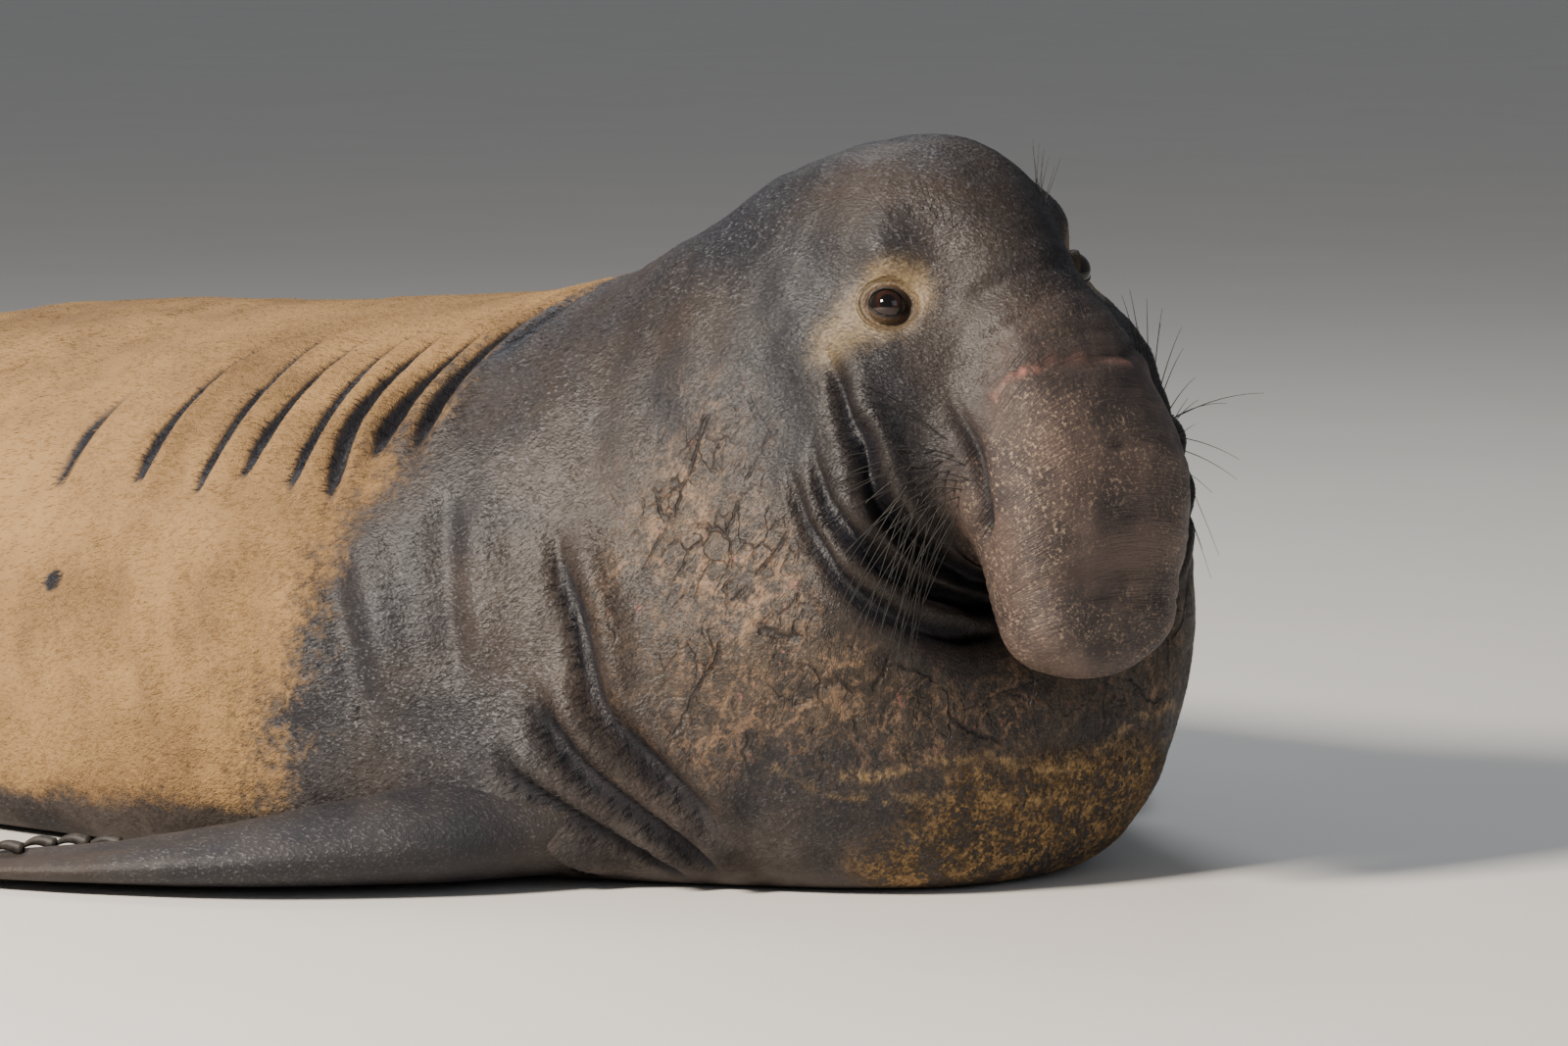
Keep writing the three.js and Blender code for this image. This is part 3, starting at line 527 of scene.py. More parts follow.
@dataclass
class Markings:
    """Where sand, bare hide, scars and the other markings lie, as numbers on each point.

    Routes and spots are places along the sections and degrees round from the back; a spot also
    has a radius in metres, and an edge is a row of degrees over a row of places or the reverse.
    """

    hide: Hide
    sand_front: tuple = ((0, 12, 26, 40, 52, 62, 75, 90, 105, 125),
                         (7.35, 7.0, 6.85, 6.68, 6.62, 6.45, 6.33, 6.25, 6.05, 5.5))
    sand_foot: tuple = ((0, 2, 4, 5.6), (112, 116, 112, 108))
    sand_slopes: tuple[float, float] = (2.2, 0.09)
    shield_rear: tuple = ((60, 80, 110, 150), (8.3, 7.8, 7.9, 8.0))
    shield_top: tuple = ((7.8, 9, 10.3, 12), (66, 60, 84, 150))
    shield_front: float = 12.1
    shield_foot: float = 0.13
    shield_slopes: tuple[float, float, float] = (0.05, 0.9, 8.0)
    eye_patches: tuple = ((12.0, 66, 0.042), (11.3, 72, 0.036), (12.7, 59, 0.028), (12.2, 59, 0.026))
    wound: tuple = ((5.08, 71, 0.013),)
    wound_rim: tuple = ((5.045, 73.5, 0.009),)
    scar_right: tuple = ((14.98, 60), (15.06, 44), (15.22, 22), (15.31, 2))
    scar_left: tuple = ((15.31, 2), (15.33, 20))
    scar_width: float = 0.0040
    tide: tuple = ((9.5, 128), (9.72, 133), (10.27, 143), (10.64, 159), (10.5, 174), (10.45, 180))
    tide_width: float = 0.0042
    strand: tuple = ((9.0, 118), (9.25, 128), (9.75, 141), (10.2, 157), (10.1, 180))
    strand_width: float = 0.0032
    strand_share: float = 0.8
    crust_places: tuple[float, float] = (8.4, 9.0)
    crust_degrees: tuple[float, float] = (128, 158)
    crust_heights: tuple[float, float] = (0.12, 0.23)
    trunk_places: tuple[float, float] = (14.2, 15.6)
    low_places: tuple[float, float] = (8.0, 9.5)
    low_heights: tuple[float, float] = (0.02, 0.22)
    line_steps: int = 24
    line_reach: float = 0.1
    limit: float = 2.0

    def near_line(self, points: Array, route: Route, width: float, sides: Sequence[Side]) -> Array:
        """Mask that falls off as exp(-(d / width)^2) of the distance d to a route on the hide."""
        best = np.full(len(points), np.inf)
        place, degrees = along_route(route, self.line_steps)
        for side in sides:
            line = self.hide.plain(place, side.angle(degrees))
            for chunk in chunks_near(points, line, self.line_reach):
                gap = np.sqrt(((points[chunk][:, None] - line[None]) ** 2).sum(-1)).min(1)
                best[chunk] = np.minimum(best[chunk], gap)
        return bell(best, width)

    def blobs(self, points: Array, spots: Sequence[tuple[float, float, float]],
              sides: Sequence[Side]) -> Array:
        """Soft union, 1 minus the product of 1 - g, of round Gaussian spots g."""
        bare = np.ones(len(points))
        for side in sides:
            for place, degrees, radius in spots:
                centre = self.hide.at(place, degrees, side)[0]
                bare = bare * (1 - np.exp(-((points - centre) ** 2).sum(-1) / radius**2))
        return 1 - bare

    def sand(self, place: Array, degrees: Array) -> Array:
        """Signed distance to the edge of the dry sand, in rough decimetres."""
        forward, downward = self.sand_slopes
        sand = (np.interp(degrees, *self.sand_front) - place) * forward
        sand = np.minimum(sand, (np.interp(place, *self.sand_foot) - degrees) * downward)
        return np.clip(sand, -self.limit, self.limit)

    def shield(self, place: Array, degrees: Array, height: Array) -> Array:
        """Signed distance to the edge of the chest shield, in rough decimetres."""
        downward, forward, upward = self.shield_slopes
        chest = np.minimum(place - np.interp(degrees, *self.shield_rear), 1.5)
        chest = np.minimum(chest, (degrees - np.interp(place, *self.shield_top)) * downward)
        chest = np.minimum(chest, (self.shield_front - place) * forward)
        return np.clip(np.minimum(chest, (height - self.shield_foot) * upward), -self.limit, self.limit)

    def read(self, place: Array, angle: Array, points: Array, dark: Array, wet: Array) -> dict[str, Array]:
        """All markings at points of the body.

        Args:
            place: along the sections.
            angle: round the section.
            points: where the points are.
            dark: darkness of the creases, painted as shade by the finish.
            wet: wetness beside the folds, most of all the mouth's, which the finish darkens, partly as painted
                shade.
        Returns:
            One array for each marking, mostly 0 to 1; sand and shield are signed distances
            to their ragged edge, which the finish breaks up.
        """
        degrees = np.degrees(np.where(angle > np.pi, 2 * np.pi - angle, angle))
        height = points[:, 2] - self.hide.shift[2]
        both, right, left = tuple(Side), (Side.RIGHT,), (Side.LEFT,)
        crust = smooth(place, *self.crust_places) * smooth(degrees, *self.crust_degrees)
        return {
            "sand": self.sand(place, degrees),
            "shield": self.shield(place, degrees, height),
            "crust": crust * (1 - smooth(height, *self.crust_heights)),
            "patch": np.maximum(self.blobs(points, self.eye_patches, both),
                                self.blobs(points, self.wound_rim, right)),
            "trunk": smooth(place, *self.trunk_places),
            # Painted shade of the fold creases, with the real dark wound.
            "crease": np.maximum(dark, self.blobs(points, self.wound, right)),
            "wet": wet,
            "scar": np.maximum(self.near_line(points, self.scar_right, self.scar_width, right),
                               self.near_line(points, self.scar_left, self.scar_width, left)),
            "tide": np.maximum(self.near_line(points, self.tide, self.tide_width, both),
                               self.near_line(points, self.strand, self.strand_width, both) * self.strand_share),
            # Low on the body: dust with a painted whitish sheen in the colour, and rougher hide.
            "low": (1 - smooth(height, *self.low_heights)) * (1 - smooth(place, *self.low_places)),
            "lid": np.zeros(len(points))}

    def bare(self, count: int, low: float) -> dict[str, Array]:
        """Markings of a flipper or other piece of bare dark hide."""
        values = {name: np.zeros(count) for name in MARKS}
        return values | {"sand": np.full(count, -self.limit), "shield": np.full(count, -self.limit),
                         "low": np.full(count, low)}


def grid_faces(rows: int, columns: int, closed: bool = True) -> Array:
    """Quads between the points of a grid, wound so that along crossed with round points outwards."""
    i, j = np.meshgrid(np.arange(rows - 1), np.arange(columns if closed else columns - 1), indexing="ij")
    after = (j + 1) % columns
    here, ahead = i * columns, (i + 1) * columns
    return np.stack([here + j, ahead + j, ahead + after, here + after], -1).reshape(-1, 4)


def facing_out(points: Array, faces: Array) -> Array:
    """Faces of a closed surface, turned round if the volume that they enclose is negative."""
    a, b, c = points[faces[:, 0]], points[faces[:, 1]], points[faces[:, 2]]
    middle = points.mean(0)
    volume = ((a - middle) * np.cross(b - middle, c - middle)).sum()
    return faces if volume > 0 else faces[:, ::-1]


def make_piece(name: str, points: Array, faces: Sequence[Array],
               values: dict[str, Array] | None = None,
               maps: dict[str, Array] | None = None) -> Piece:
    """Puts arrays into a mesh object at the origin, with point attributes and UV maps.

    Args:
        name: the piece's name.
        points: places of the vertices.
        faces: arrays of quads and of triangles.
        values: point attributes by name.
        maps: UV coordinates of each vertex by map name.
    Returns:
        The new object.
    """
    mesh = bpy.data.meshes.new(name)
    loops = np.concatenate([part.ravel() for part in faces]).astype(np.int32)
    sizes = np.concatenate([np.full(len(part), part.shape[1]) for part in faces]).astype(np.int32)
    starts = np.concatenate([[0], np.cumsum(sizes)[:-1]]).astype(np.int32)
    mesh.vertices.add(len(points))
    mesh.vertices.foreach_set("co", np.ascontiguousarray(points, dtype=np.float32).ravel())
    mesh.loops.add(len(loops))
    mesh.loops.foreach_set("vertex_index", loops)
    mesh.polygons.add(len(sizes))
    mesh.polygons.foreach_set("loop_start", starts)
    mesh.update(calc_edges=True)
    mesh.validate()
    mesh.polygons.foreach_set("use_smooth", np.ones(len(mesh.polygons), dtype=bool))
    for key, value in (values or {}).items():
        layer = mesh.attributes.new(key, "FLOAT", "POINT")
        layer.data.foreach_set("value", np.ascontiguousarray(value, dtype=np.float32))
    corners = np.empty(len(mesh.loops), dtype=np.int32)
    mesh.loops.foreach_get("vertex_index", corners)
    for key, spots in (maps or {}).items():
        layer = mesh.uv_layers.new(name=key)
        layer.data.foreach_set("uv", np.ascontiguousarray(spots[corners], dtype=np.float32).ravel())
    piece = bpy.data.objects.new(name, mesh)
    bpy.context.scene.collection.objects.link(piece)
    return piece


def tube(line: Array, radius: Array, sides: int) -> tuple[Array, Array]:
    """A closed round tube: circles of the given radii set across a line, ends pulled to a point."""
    along = unit(np.gradient(line, axis=0))
    helper = np.array([0.0, 0.0, 1.0]) if abs(along[0, 2]) < 0.9 else np.array([1.0, 0.0, 0.0])
    across = unit(np.cross(along, helper))
    other = np.cross(along, across)
    turn = np.linspace(0, 2 * np.pi, sides, endpoint=False)
    ring = across[:, None] * np.cos(turn)[None, :, None] + other[:, None] * np.sin(turn)[None, :, None]
    points = (line[:, None] + ring * radius[:, None, None]).reshape(-1, 3)
    return points, facing_out(points, grid_faces(len(line), sides))


def hide_map(place: Array, angle: Array) -> Array:
    """UV of the body in rough metres, first along it and then round it, with the seam on the belly."""
    return np.stack([place * MAP_ALONG, ((angle + np.pi) % (2 * np.pi)) * MAP_ROUND], -1)


@dataclass(frozen=True)
class LidShape:
    """Sizes of the lids' roll, of the crease round it and of the fine wrinkles beyond, in metres."""

    clear: float = 0.0006
    thickness: float = 0.0030
    upper_extra: float = 0.0022
    roll: float = 0.0018
    crease_depth: float = 0.0022
    crease_gap: float = 0.0105
    crease_upper: float = 0.003
    wrinkle: float = 0.0006
    wrinkle_step: float = 0.0042
    wrinkles_in: tuple[float, float] = (0.004, 0.010)
    wrinkles_out: tuple[float, float] = (0.02, 0.03)
    onto_hide: tuple[float, float] = (0.004, 0.021)
    tuck: float = 0.05
    tuck_in: float = 0.012
    overlap: float = 0.002
    rim_fade: float = 0.0105
    upper_part: tuple[float, float] = (-0.5, 0.7)
    sides: int = 112


@dataclass
class Eye:
    """One eyeball and the ring of lids round it."""

    hide: Hide
    side: Side
    radius: float = 0.024
    sink: float = 0.014
    cornea: float = 0.04
    cornea_spread: float = 0.5
    open_half_width: float = 0.0200
    open_half_height: float = 0.0155
    corner: float = 0.10
    patch: float = 0.050
    forward: float = 0.24
    lid: LidShape = field(default_factory=LidShape)

    def frame(self) -> tuple[Array, Array, Array, Array]:
        """Centre of the eyeball, the way it looks, and directions forwards and upwards."""
        surface, square = self.hide.at(EYE_PLACE, EYE_DEGREES, self.side)
        nose = np.array([1.0, 0.0, 0.0])
        out = unit(square + unit(nose - square * square[0]) * self.forward)
        ahead = unit(nose - out * out[0])
        up = np.cross(ahead, out)
        return surface - square * self.sink, out, ahead, up * np.sign(up[2])

    def ball(self) -> Piece:
        """The eyeball: a sphere whose front bulges a little, with an attribute for its iris.

        Rings of colatitude t give radius * (1 + cornea * exp(-(t / cornea_spread)^2)).
        """
        centre, out, ahead, up = self.frame()
        rows, sides = 40, 64
        t = np.linspace(0.0, np.pi, rows)[:, None]
        turn = np.linspace(0, 2 * np.pi, sides, endpoint=False)[None]
        size = self.radius * (1 + self.cornea * bell(t, self.cornea_spread))
        spoke = ahead * np.cos(turn)[..., None] + up * np.sin(turn)[..., None]
        points = centre + size[..., None] * (out * np.cos(t)[..., None] + spoke * np.sin(t)[..., None])
        points = points.reshape(-1, 3)
        faces = facing_out(points, grid_faces(rows, sides))
        iris = np.broadcast_to(t, (rows, sides)).ravel()
        return make_piece(f"eyeball_{self.side.name.lower()}", points, [faces], {"iris": iris})

    def jacobian(self) -> Array:
        """Steps of place and angle for a metre forwards and a metre upwards on the hide."""
        _, _, ahead, up = self.frame()
        step = 0.01
        spot, turn = np.array([EYE_PLACE]), np.array([self.side.angle(EYE_DEGREES)])
        by_place = (self.hide.plain(spot + step, turn) - self.hide.plain(spot - step, turn))[0] / (2 * step)
        by_angle = (self.hide.plain(spot, turn + step) - self.hide.plain(spot, turn - step))[0] / (2 * step)
        return np.linalg.inv(np.array([[by_place @ ahead, by_angle @ ahead], [by_place @ up, by_angle @ up]]))

    def places_at(self, a: Array, b: Array) -> tuple[Array, Array]:
        """Places and angles on the finished hide that lie a forwards and b upwards of the eye.

        Each of four steps moves them by the jacobian times what is still missing.
        """
        centre, _, ahead, up = self.frame()
        spot = np.array([EYE_PLACE, self.side.angle(EYE_DEGREES)]) + np.zeros((*a.shape, 2))
        back = self.jacobian().T
        for _ in range(4):
            found = self.hide.surface(spot[..., 0], spot[..., 1])[0].reshape(*a.shape, 3) - centre
            spot = spot + np.stack([a - found @ ahead, b - found @ up], -1) @ back
        return spot[..., 0], spot[..., 1]

    def lids(self) -> tuple[Array, ...]:
        """Points of the lids on polar rings from just outside their patch to behind their rim.

        Outside, a ring follows the hide. Towards the opening it blends into a roll that stands on
        the eyeball: height = ball height + clear + thickness * (1 - exp(-gap / roll)).

        Returns:
            Points, places, angles, darkness, wetness, nearness to the rim, and faces.
        """
        lid, (centre, out, ahead, up) = self.lid, self.frame()
        turn = np.linspace(0, 2 * np.pi, lid.sides, endpoint=False)
        shares = np.concatenate([[1.06], np.linspace(1.0, 0.0, 26), [-0.05, -0.10, -0.16]])[:, None]
        opening = self.open_half_width * self.open_half_height / np.sqrt(
            (self.open_half_height * np.cos(turn)) ** 2 + (self.open_half_width * np.sin(turn)) ** 2)
        opening = opening * (1 + self.corner * np.cos(turn) ** 8)
        ring = opening[None] + (self.patch - opening[None]) * np.maximum(shares, 0) ** 1.25
        ring = ring - np.minimum(shares, 0) * lid.tuck_in
        a, b = ring * np.cos(turn), ring * np.sin(turn)
        place, angle = self.places_at(a, b)
        base, dark, wet = self.hide.surface(place, angle)
        flat = centre + ahead * a[..., None] + up * b[..., None]
        gap = np.maximum(ring - opening, 0)
        upper = smooth(np.sin(turn), *lid.upper_part)[None]
        ball = np.sqrt(np.maximum(self.radius**2 - ring**2, 0.0) + 1e-9)
        roll = ball + lid.clear + (lid.thickness + lid.upper_extra * upper) * (1 - np.exp(-gap / lid.roll))
        crease = lid.crease_depth * bell(gap - lid.crease_gap - lid.crease_upper * upper, lid.crease_depth)
        wrinkles = lid.wrinkle * np.sin(gap / lid.wrinkle_step * 2 * np.pi)
        wrinkles = wrinkles * smooth(gap, *lid.wrinkles_in) * (1 - smooth(gap, *lid.wrinkles_out))
        level = (base.reshape(*ring.shape, 3) - flat) @ out
        share = smooth(gap, *lid.onto_hide)
        height = roll * (1 - share) + level * share - crease + wrinkles
        height = height + np.minimum(shares, 0) * lid.tuck - np.where(shares > 1.0, lid.overlap, 0.0)
        points = flat + out * height[..., None]
        faces = grid_faces(len(shares), lid.sides)
        faces = faces if np.dot(np.cross(ahead, up), out) < 0 else faces[:, ::-1]
        rim = np.exp(-gap / lid.rim_fade).ravel()
        return points.reshape(-1, 3), place.ravel(), angle.ravel(), dark, wet, rim, faces


@dataclass(frozen=True)
class Paddle:
    """A flipper: a route on the straight animal with half widths and half thicknesses along it."""

    route: Array
    half_width: Array
    half_thick: Array
    oblique: float
    scallop: float
    middle_short: float
    rib: float
    digits: int = 5
    digits_from: float = 0.45

    def curve(self, s: Array) -> tuple[Array, Array]:
        """Point and tangent of a Catmull-Rom curve through the route at shares s of its length."""
        return catmull_rom(self.route, np.clip(s, 0, 1) * (len(self.route) - 1))

    def at(self, s: Array, t: Array, face: Array, side: Side, hide: Hide) -> Array:
        """Points of the flipper: s from root to tip, t across it, face 1 above and -1 below.

        The section is an ellipse across the route, thicker over each digit by a cosine of t, and
        the digits end at different lengths.
        """
        rib = np.cos(np.pi * self.digits * (t + 1) / 2)
        reach = smooth(s, self.digits_from, 1.0)
        spine, ahead = self.curve(s)
        ahead = unit(ahead * np.array([1.0, 1.0, 0.0]))
        knots = np.linspace(0, 1, len(self.route))
        width = np.interp(s, knots, self.half_width)
        thick = np.interp(s, knots, self.half_thick)
        edge = np.sqrt(np.maximum(1 - t * t, 0))
        extra = self.oblique * t - self.middle_short * (1 - t * t) - self.scallop * rib * edge
        cross = np.stack([-ahead[..., 1], ahead[..., 0], 0 * ahead[..., 0]], -1)
        points = spine + ahead * (extra * reach)[..., None] + cross * (width * t)[..., None]
        points[..., 2] += face * thick * edge * (1 - self.rib * reach * rib)
        points[..., 2] = np.maximum(points[..., 2], 0.0)
        points[..., 1] *= -side.value
        return hide.stance.bent(points) + hide.shift


FORE_FLIPPER = Paddle(
    route=np.array([[-0.30, -0.30, 0.080], [-0.38, -0.50, 0.066], [-0.52, -0.66, 0.048],
                    [-0.70, -0.76, 0.030], [-0.90, -0.82, 0.018]]),
    half_width=np.array([0.120, 0.135, 0.125, 0.105, 0.090]),
    half_thick=np.array([0.072, 0.060, 0.042, 0.025, 0.013]),
    oblique=0.070, scallop=0.016, middle_short=0.0, rib=0.16)
HIND_FLIPPER = Paddle(
    route=np.array([[-3.20, -0.085, 0.120], [-3.34, -0.128, 0.095], [-3.48, -0.175, 0.062],
                    [-3.64, -0.235, 0.038], [-3.80, -0.295, 0.020]]),
    half_width=np.array([0.056, 0.076, 0.100, 0.135, 0.165]),
    half_thick=np.array([0.060, 0.044, 0.028, 0.019, 0.010]),
    oblique=0.0, scallop=0.014, middle_short=0.130, rib=0.18)


@dataclass(frozen=True)
class NailShape:
    """Sizes of a nail in metres, and where it starts along its digit."""

    length: float = 0.046
    radius: float = 0.0078
    taper: float = 0.88
    arch: float = 0.005
    droop: float = 0.010
    lift: float = 0.0055
    floor_gap: float = 0.001
    root: float = 0.85
    start: float = 0.9
    rows: int = 22
    sides: int = 20


@dataclass
class Limbs:
    """Flippers, tail stub and nails."""

    hide: Hide
    nails: NailShape = field(default_factory=NailShape)
    grain: tuple[float, float] = (0.0014, 0.03)
    tail_from: tuple[float, float, float] = (-3.30, 0.0, 0.108)
    tail_to: tuple[float, float, float] = (-3.50, 0.0, 0.060)
    tail_radius: float = 0.040
    tail_taper: float = 0.65
    tail_flatness: float = 0.5

    def flipper(self, shape: Paddle, side: Side) -> tuple[Array, Array]:
        """Points and faces of one flipper, closed at the tip."""
        rows, sides = 46, 60
        s = 1 - (1 - np.linspace(0, 1, rows)[:, None]) ** 1.3 + np.zeros((1, sides))
        turn = np.linspace(0, 2 * np.pi, sides, endpoint=False)[None] + np.zeros((rows, 1))
        face = np.clip(np.sin(turn) * 6, -1, 1)
        points = shape.at(s, -np.cos(turn), face, side, self.hide)
        tall, cell = self.grain
        points[..., 2] += tall * lattice(points, cell, 31) * (face > 0) * (1 - s**6)
        end = points[-1].mean(0)
        steps = [points[-1] + (end - points[-1]) * share for share in (0.04, 0.5, 1.0)]
        points = np.concatenate([points, steps])
        faces = grid_faces(len(points), sides)
        points = points.reshape(-1, 3)
        return points, facing_out(points, faces)

    def tail(self) -> tuple[Array, Array]:
        """A short flattened cone, whose radius shrinks with the square of the way and rounds at the end."""
        rows, sides = 24, 48
        s = np.linspace(0, 1, rows)[:, None]
        turn = np.linspace(0, 2 * np.pi, sides, endpoint=False)[None]
        rounding = np.sqrt(1 - np.clip((s - 0.9) / 0.1, 0, 1) ** 2 + 1e-6)
        radius = self.tail_radius * (1 - self.tail_taper * s**2) * rounding
        start, stop = np.array(self.tail_from), np.array(self.tail_to)
        middle = start + (stop - start) * s[..., None]
        ring = np.stack([0 * turn * s, radius * np.cos(turn), radius * self.tail_flatness * np.sin(turn)], -1)
        points = (self.hide.stance.bent(middle + ring) + self.hide.shift).reshape(-1, 3)
        return points, facing_out(points, grid_faces(rows, sides))

    def nail(self, digit: int, side: Side) -> Piece:
        """A curved cone on the upper side of a digit: the radius shrinks as share^1.5."""
        nail = self.nails
        t = np.array([-1 + (2 * digit + 1) / FORE_FLIPPER.digits])
        root, start, tip = (FORE_FLIPPER.at(np.array([s]), t, np.ones(1), side, self.hide)[0]
                            for s in (nail.root, nail.start, 1.0))
        along = unit((tip - root) * np.array([1, 1, 0]))
        s = np.linspace(-0.12, 1, nail.rows)
        share = np.clip(s, 0, 1)
        line = start + along * (nail.length * s)[:, None]
        line[:, 2] += nail.arch * np.sin(np.pi * share) - nail.droop * s**2 + nail.lift
        radius = nail.radius * (1 - nail.taper * share**1.5)
        radius[0] *= 0.3
        radius[-1] = 0.0002
        points, faces = tube(line, radius, nail.sides)
        points[:, 2] = np.maximum(points[:, 2], self.hide.shift[2] + nail.floor_gap)
        return make_piece(f"horn_{side.name.lower()}_{digit + 1}", points, [faces])


@dataclass
class Skin:
    """The one skin of the animal: body, head, lids, flippers and tail."""

    hide: Hide
    markings: Markings
    limbs: Limbs
    eyes: tuple[Eye, Eye]
    columns: int = 240
    hole: float = 0.0445
    hole_depth: float = 0.05
    # Dust and a painted whitish sheen on each kind of flipper.
    flipper_dust_and_sheen: tuple[tuple[Paddle, float], ...] = ((FORE_FLIPPER, 0.3), (HIND_FLIPPER, 0.2))

    def places(self) -> Array:
        """Places of the rings: close on the head and folds, wide on the rear."""
        spans = ((-0.999, 0.0, 8), (0.0, 4.8, 42), (4.8, 7.2, 104), (7.2, 14.0, 116), (14.0, 18.0, 44),
                 (18.0, 18.999, 12))
        return np.concatenate([np.linspace(a, b, n, endpoint=False) for a, b, n in spans] + [[18.999]])

    def open_eyes(self, points: Array, faces: Array) -> Array:
        """Faces without those that the lids take the place of."""
        middle = points[faces].mean(1)
        keep = np.ones(len(faces), dtype=bool)
        for eye in self.eyes:
            centre, out, _, _ = eye.frame()
            delta = middle - centre
            level = delta @ out
            across = np.sqrt(np.maximum((delta**2).sum(-1) - level**2, 0))
            keep &= ~((across < self.hole) & (np.abs(level) < self.hole_depth))
        return faces[keep]

    def body(self) -> tuple[Array, dict[str, Array], Array, list[Array]]:
        """The grid of body and head, which starts and ends on the belly, and a fan at each end."""
        rows, columns = len(self.places()), self.columns
        place = (self.places()[:, None] + np.zeros((1, columns))).ravel()
        turn = np.linspace(0, 2 * np.pi, columns, endpoint=False)[None] + np.zeros((rows, 1))
        angle = ((turn + np.pi) % (2 * np.pi)).ravel()
        points, dark, wet = self.hide.surface(place, angle)
        values = self.markings.read(place, angle, points, dark, wet)
        faces = [self.open_eyes(points, grid_faces(rows, columns))]
        for row, step in ((0, 1), (rows - 1, -1)):
            ring = row * columns + np.arange(columns)
            fan = np.stack([np.full(columns, ring[0]), ring, np.roll(ring, -1)], -1)[1:-1]
            faces.append(fan[:, ::step])
        return points, values, hide_map(place, angle), faces

    def lids(self, eye: Eye) -> tuple[Array, dict[str, Array], Array, list[Array]]:
        """The ring of lids of one eye."""
        points, place, angle, dark, wet, rim, faces = eye.lids()
        values = self.markings.read(place, angle, points, dark, wet) | {"lid": rim}
        return points, values, hide_map(place, angle), [faces]

    def build(self) -> Piece:
        """Joins the grids of all parts of the skin into one mesh with its markings."""
        parts = [self.body()] + [self.lids(eye) for eye in self.eyes]
        limbs = [(self.limbs.flipper(paddle, side), low)
                 for paddle, low in self.flipper_dust_and_sheen for side in Side]
        for (points, faces), low in limbs + [(self.limbs.tail(), 0.0)]:
            parts.append((points, self.markings.bare(len(points), low), points[:, :2], [faces]))
        starts = np.cumsum([0] + [len(points) for points, *_ in parts])
        faces = [face + start for part, start in zip(parts, starts) for face in part[3]]
        faces.sort(key=lambda group: -group.shape[1])
        values = {key: np.concatenate([part[1][key] for part in parts]) for key in MARKS}
        maps = {"hide_map": np.concatenate([part[2] for part in parts])}
        return make_piece("seal_skin", np.concatenate([part[0] for part in parts]), faces, values, maps)


@dataclass(frozen=True)
class CoatPatch:
    """A stretch of the coat: where it lies and how its tufts are made."""

    name: str
    first: float
    last: float
    count: int
    length: float
    width: float
    lift: float
    seed: int


COAT = (
    CoatPatch("coat_rear", 0.1, 5.0, 52000, 0.013, 0.0016, 0.08, 11),
    CoatPatch("coat_middle", 5.0, 8.0, 62000, 0.011, 0.0012, 0.08, 12),
    CoatPatch("coat_neck", 8.0, 11.5, 66000, 0.009, 0.0010, 0.08, 13),
    CoatPatch("coat_head", 11.5, 14.6, 60000, 0.006, 0.0007, 0.10, 14),
)


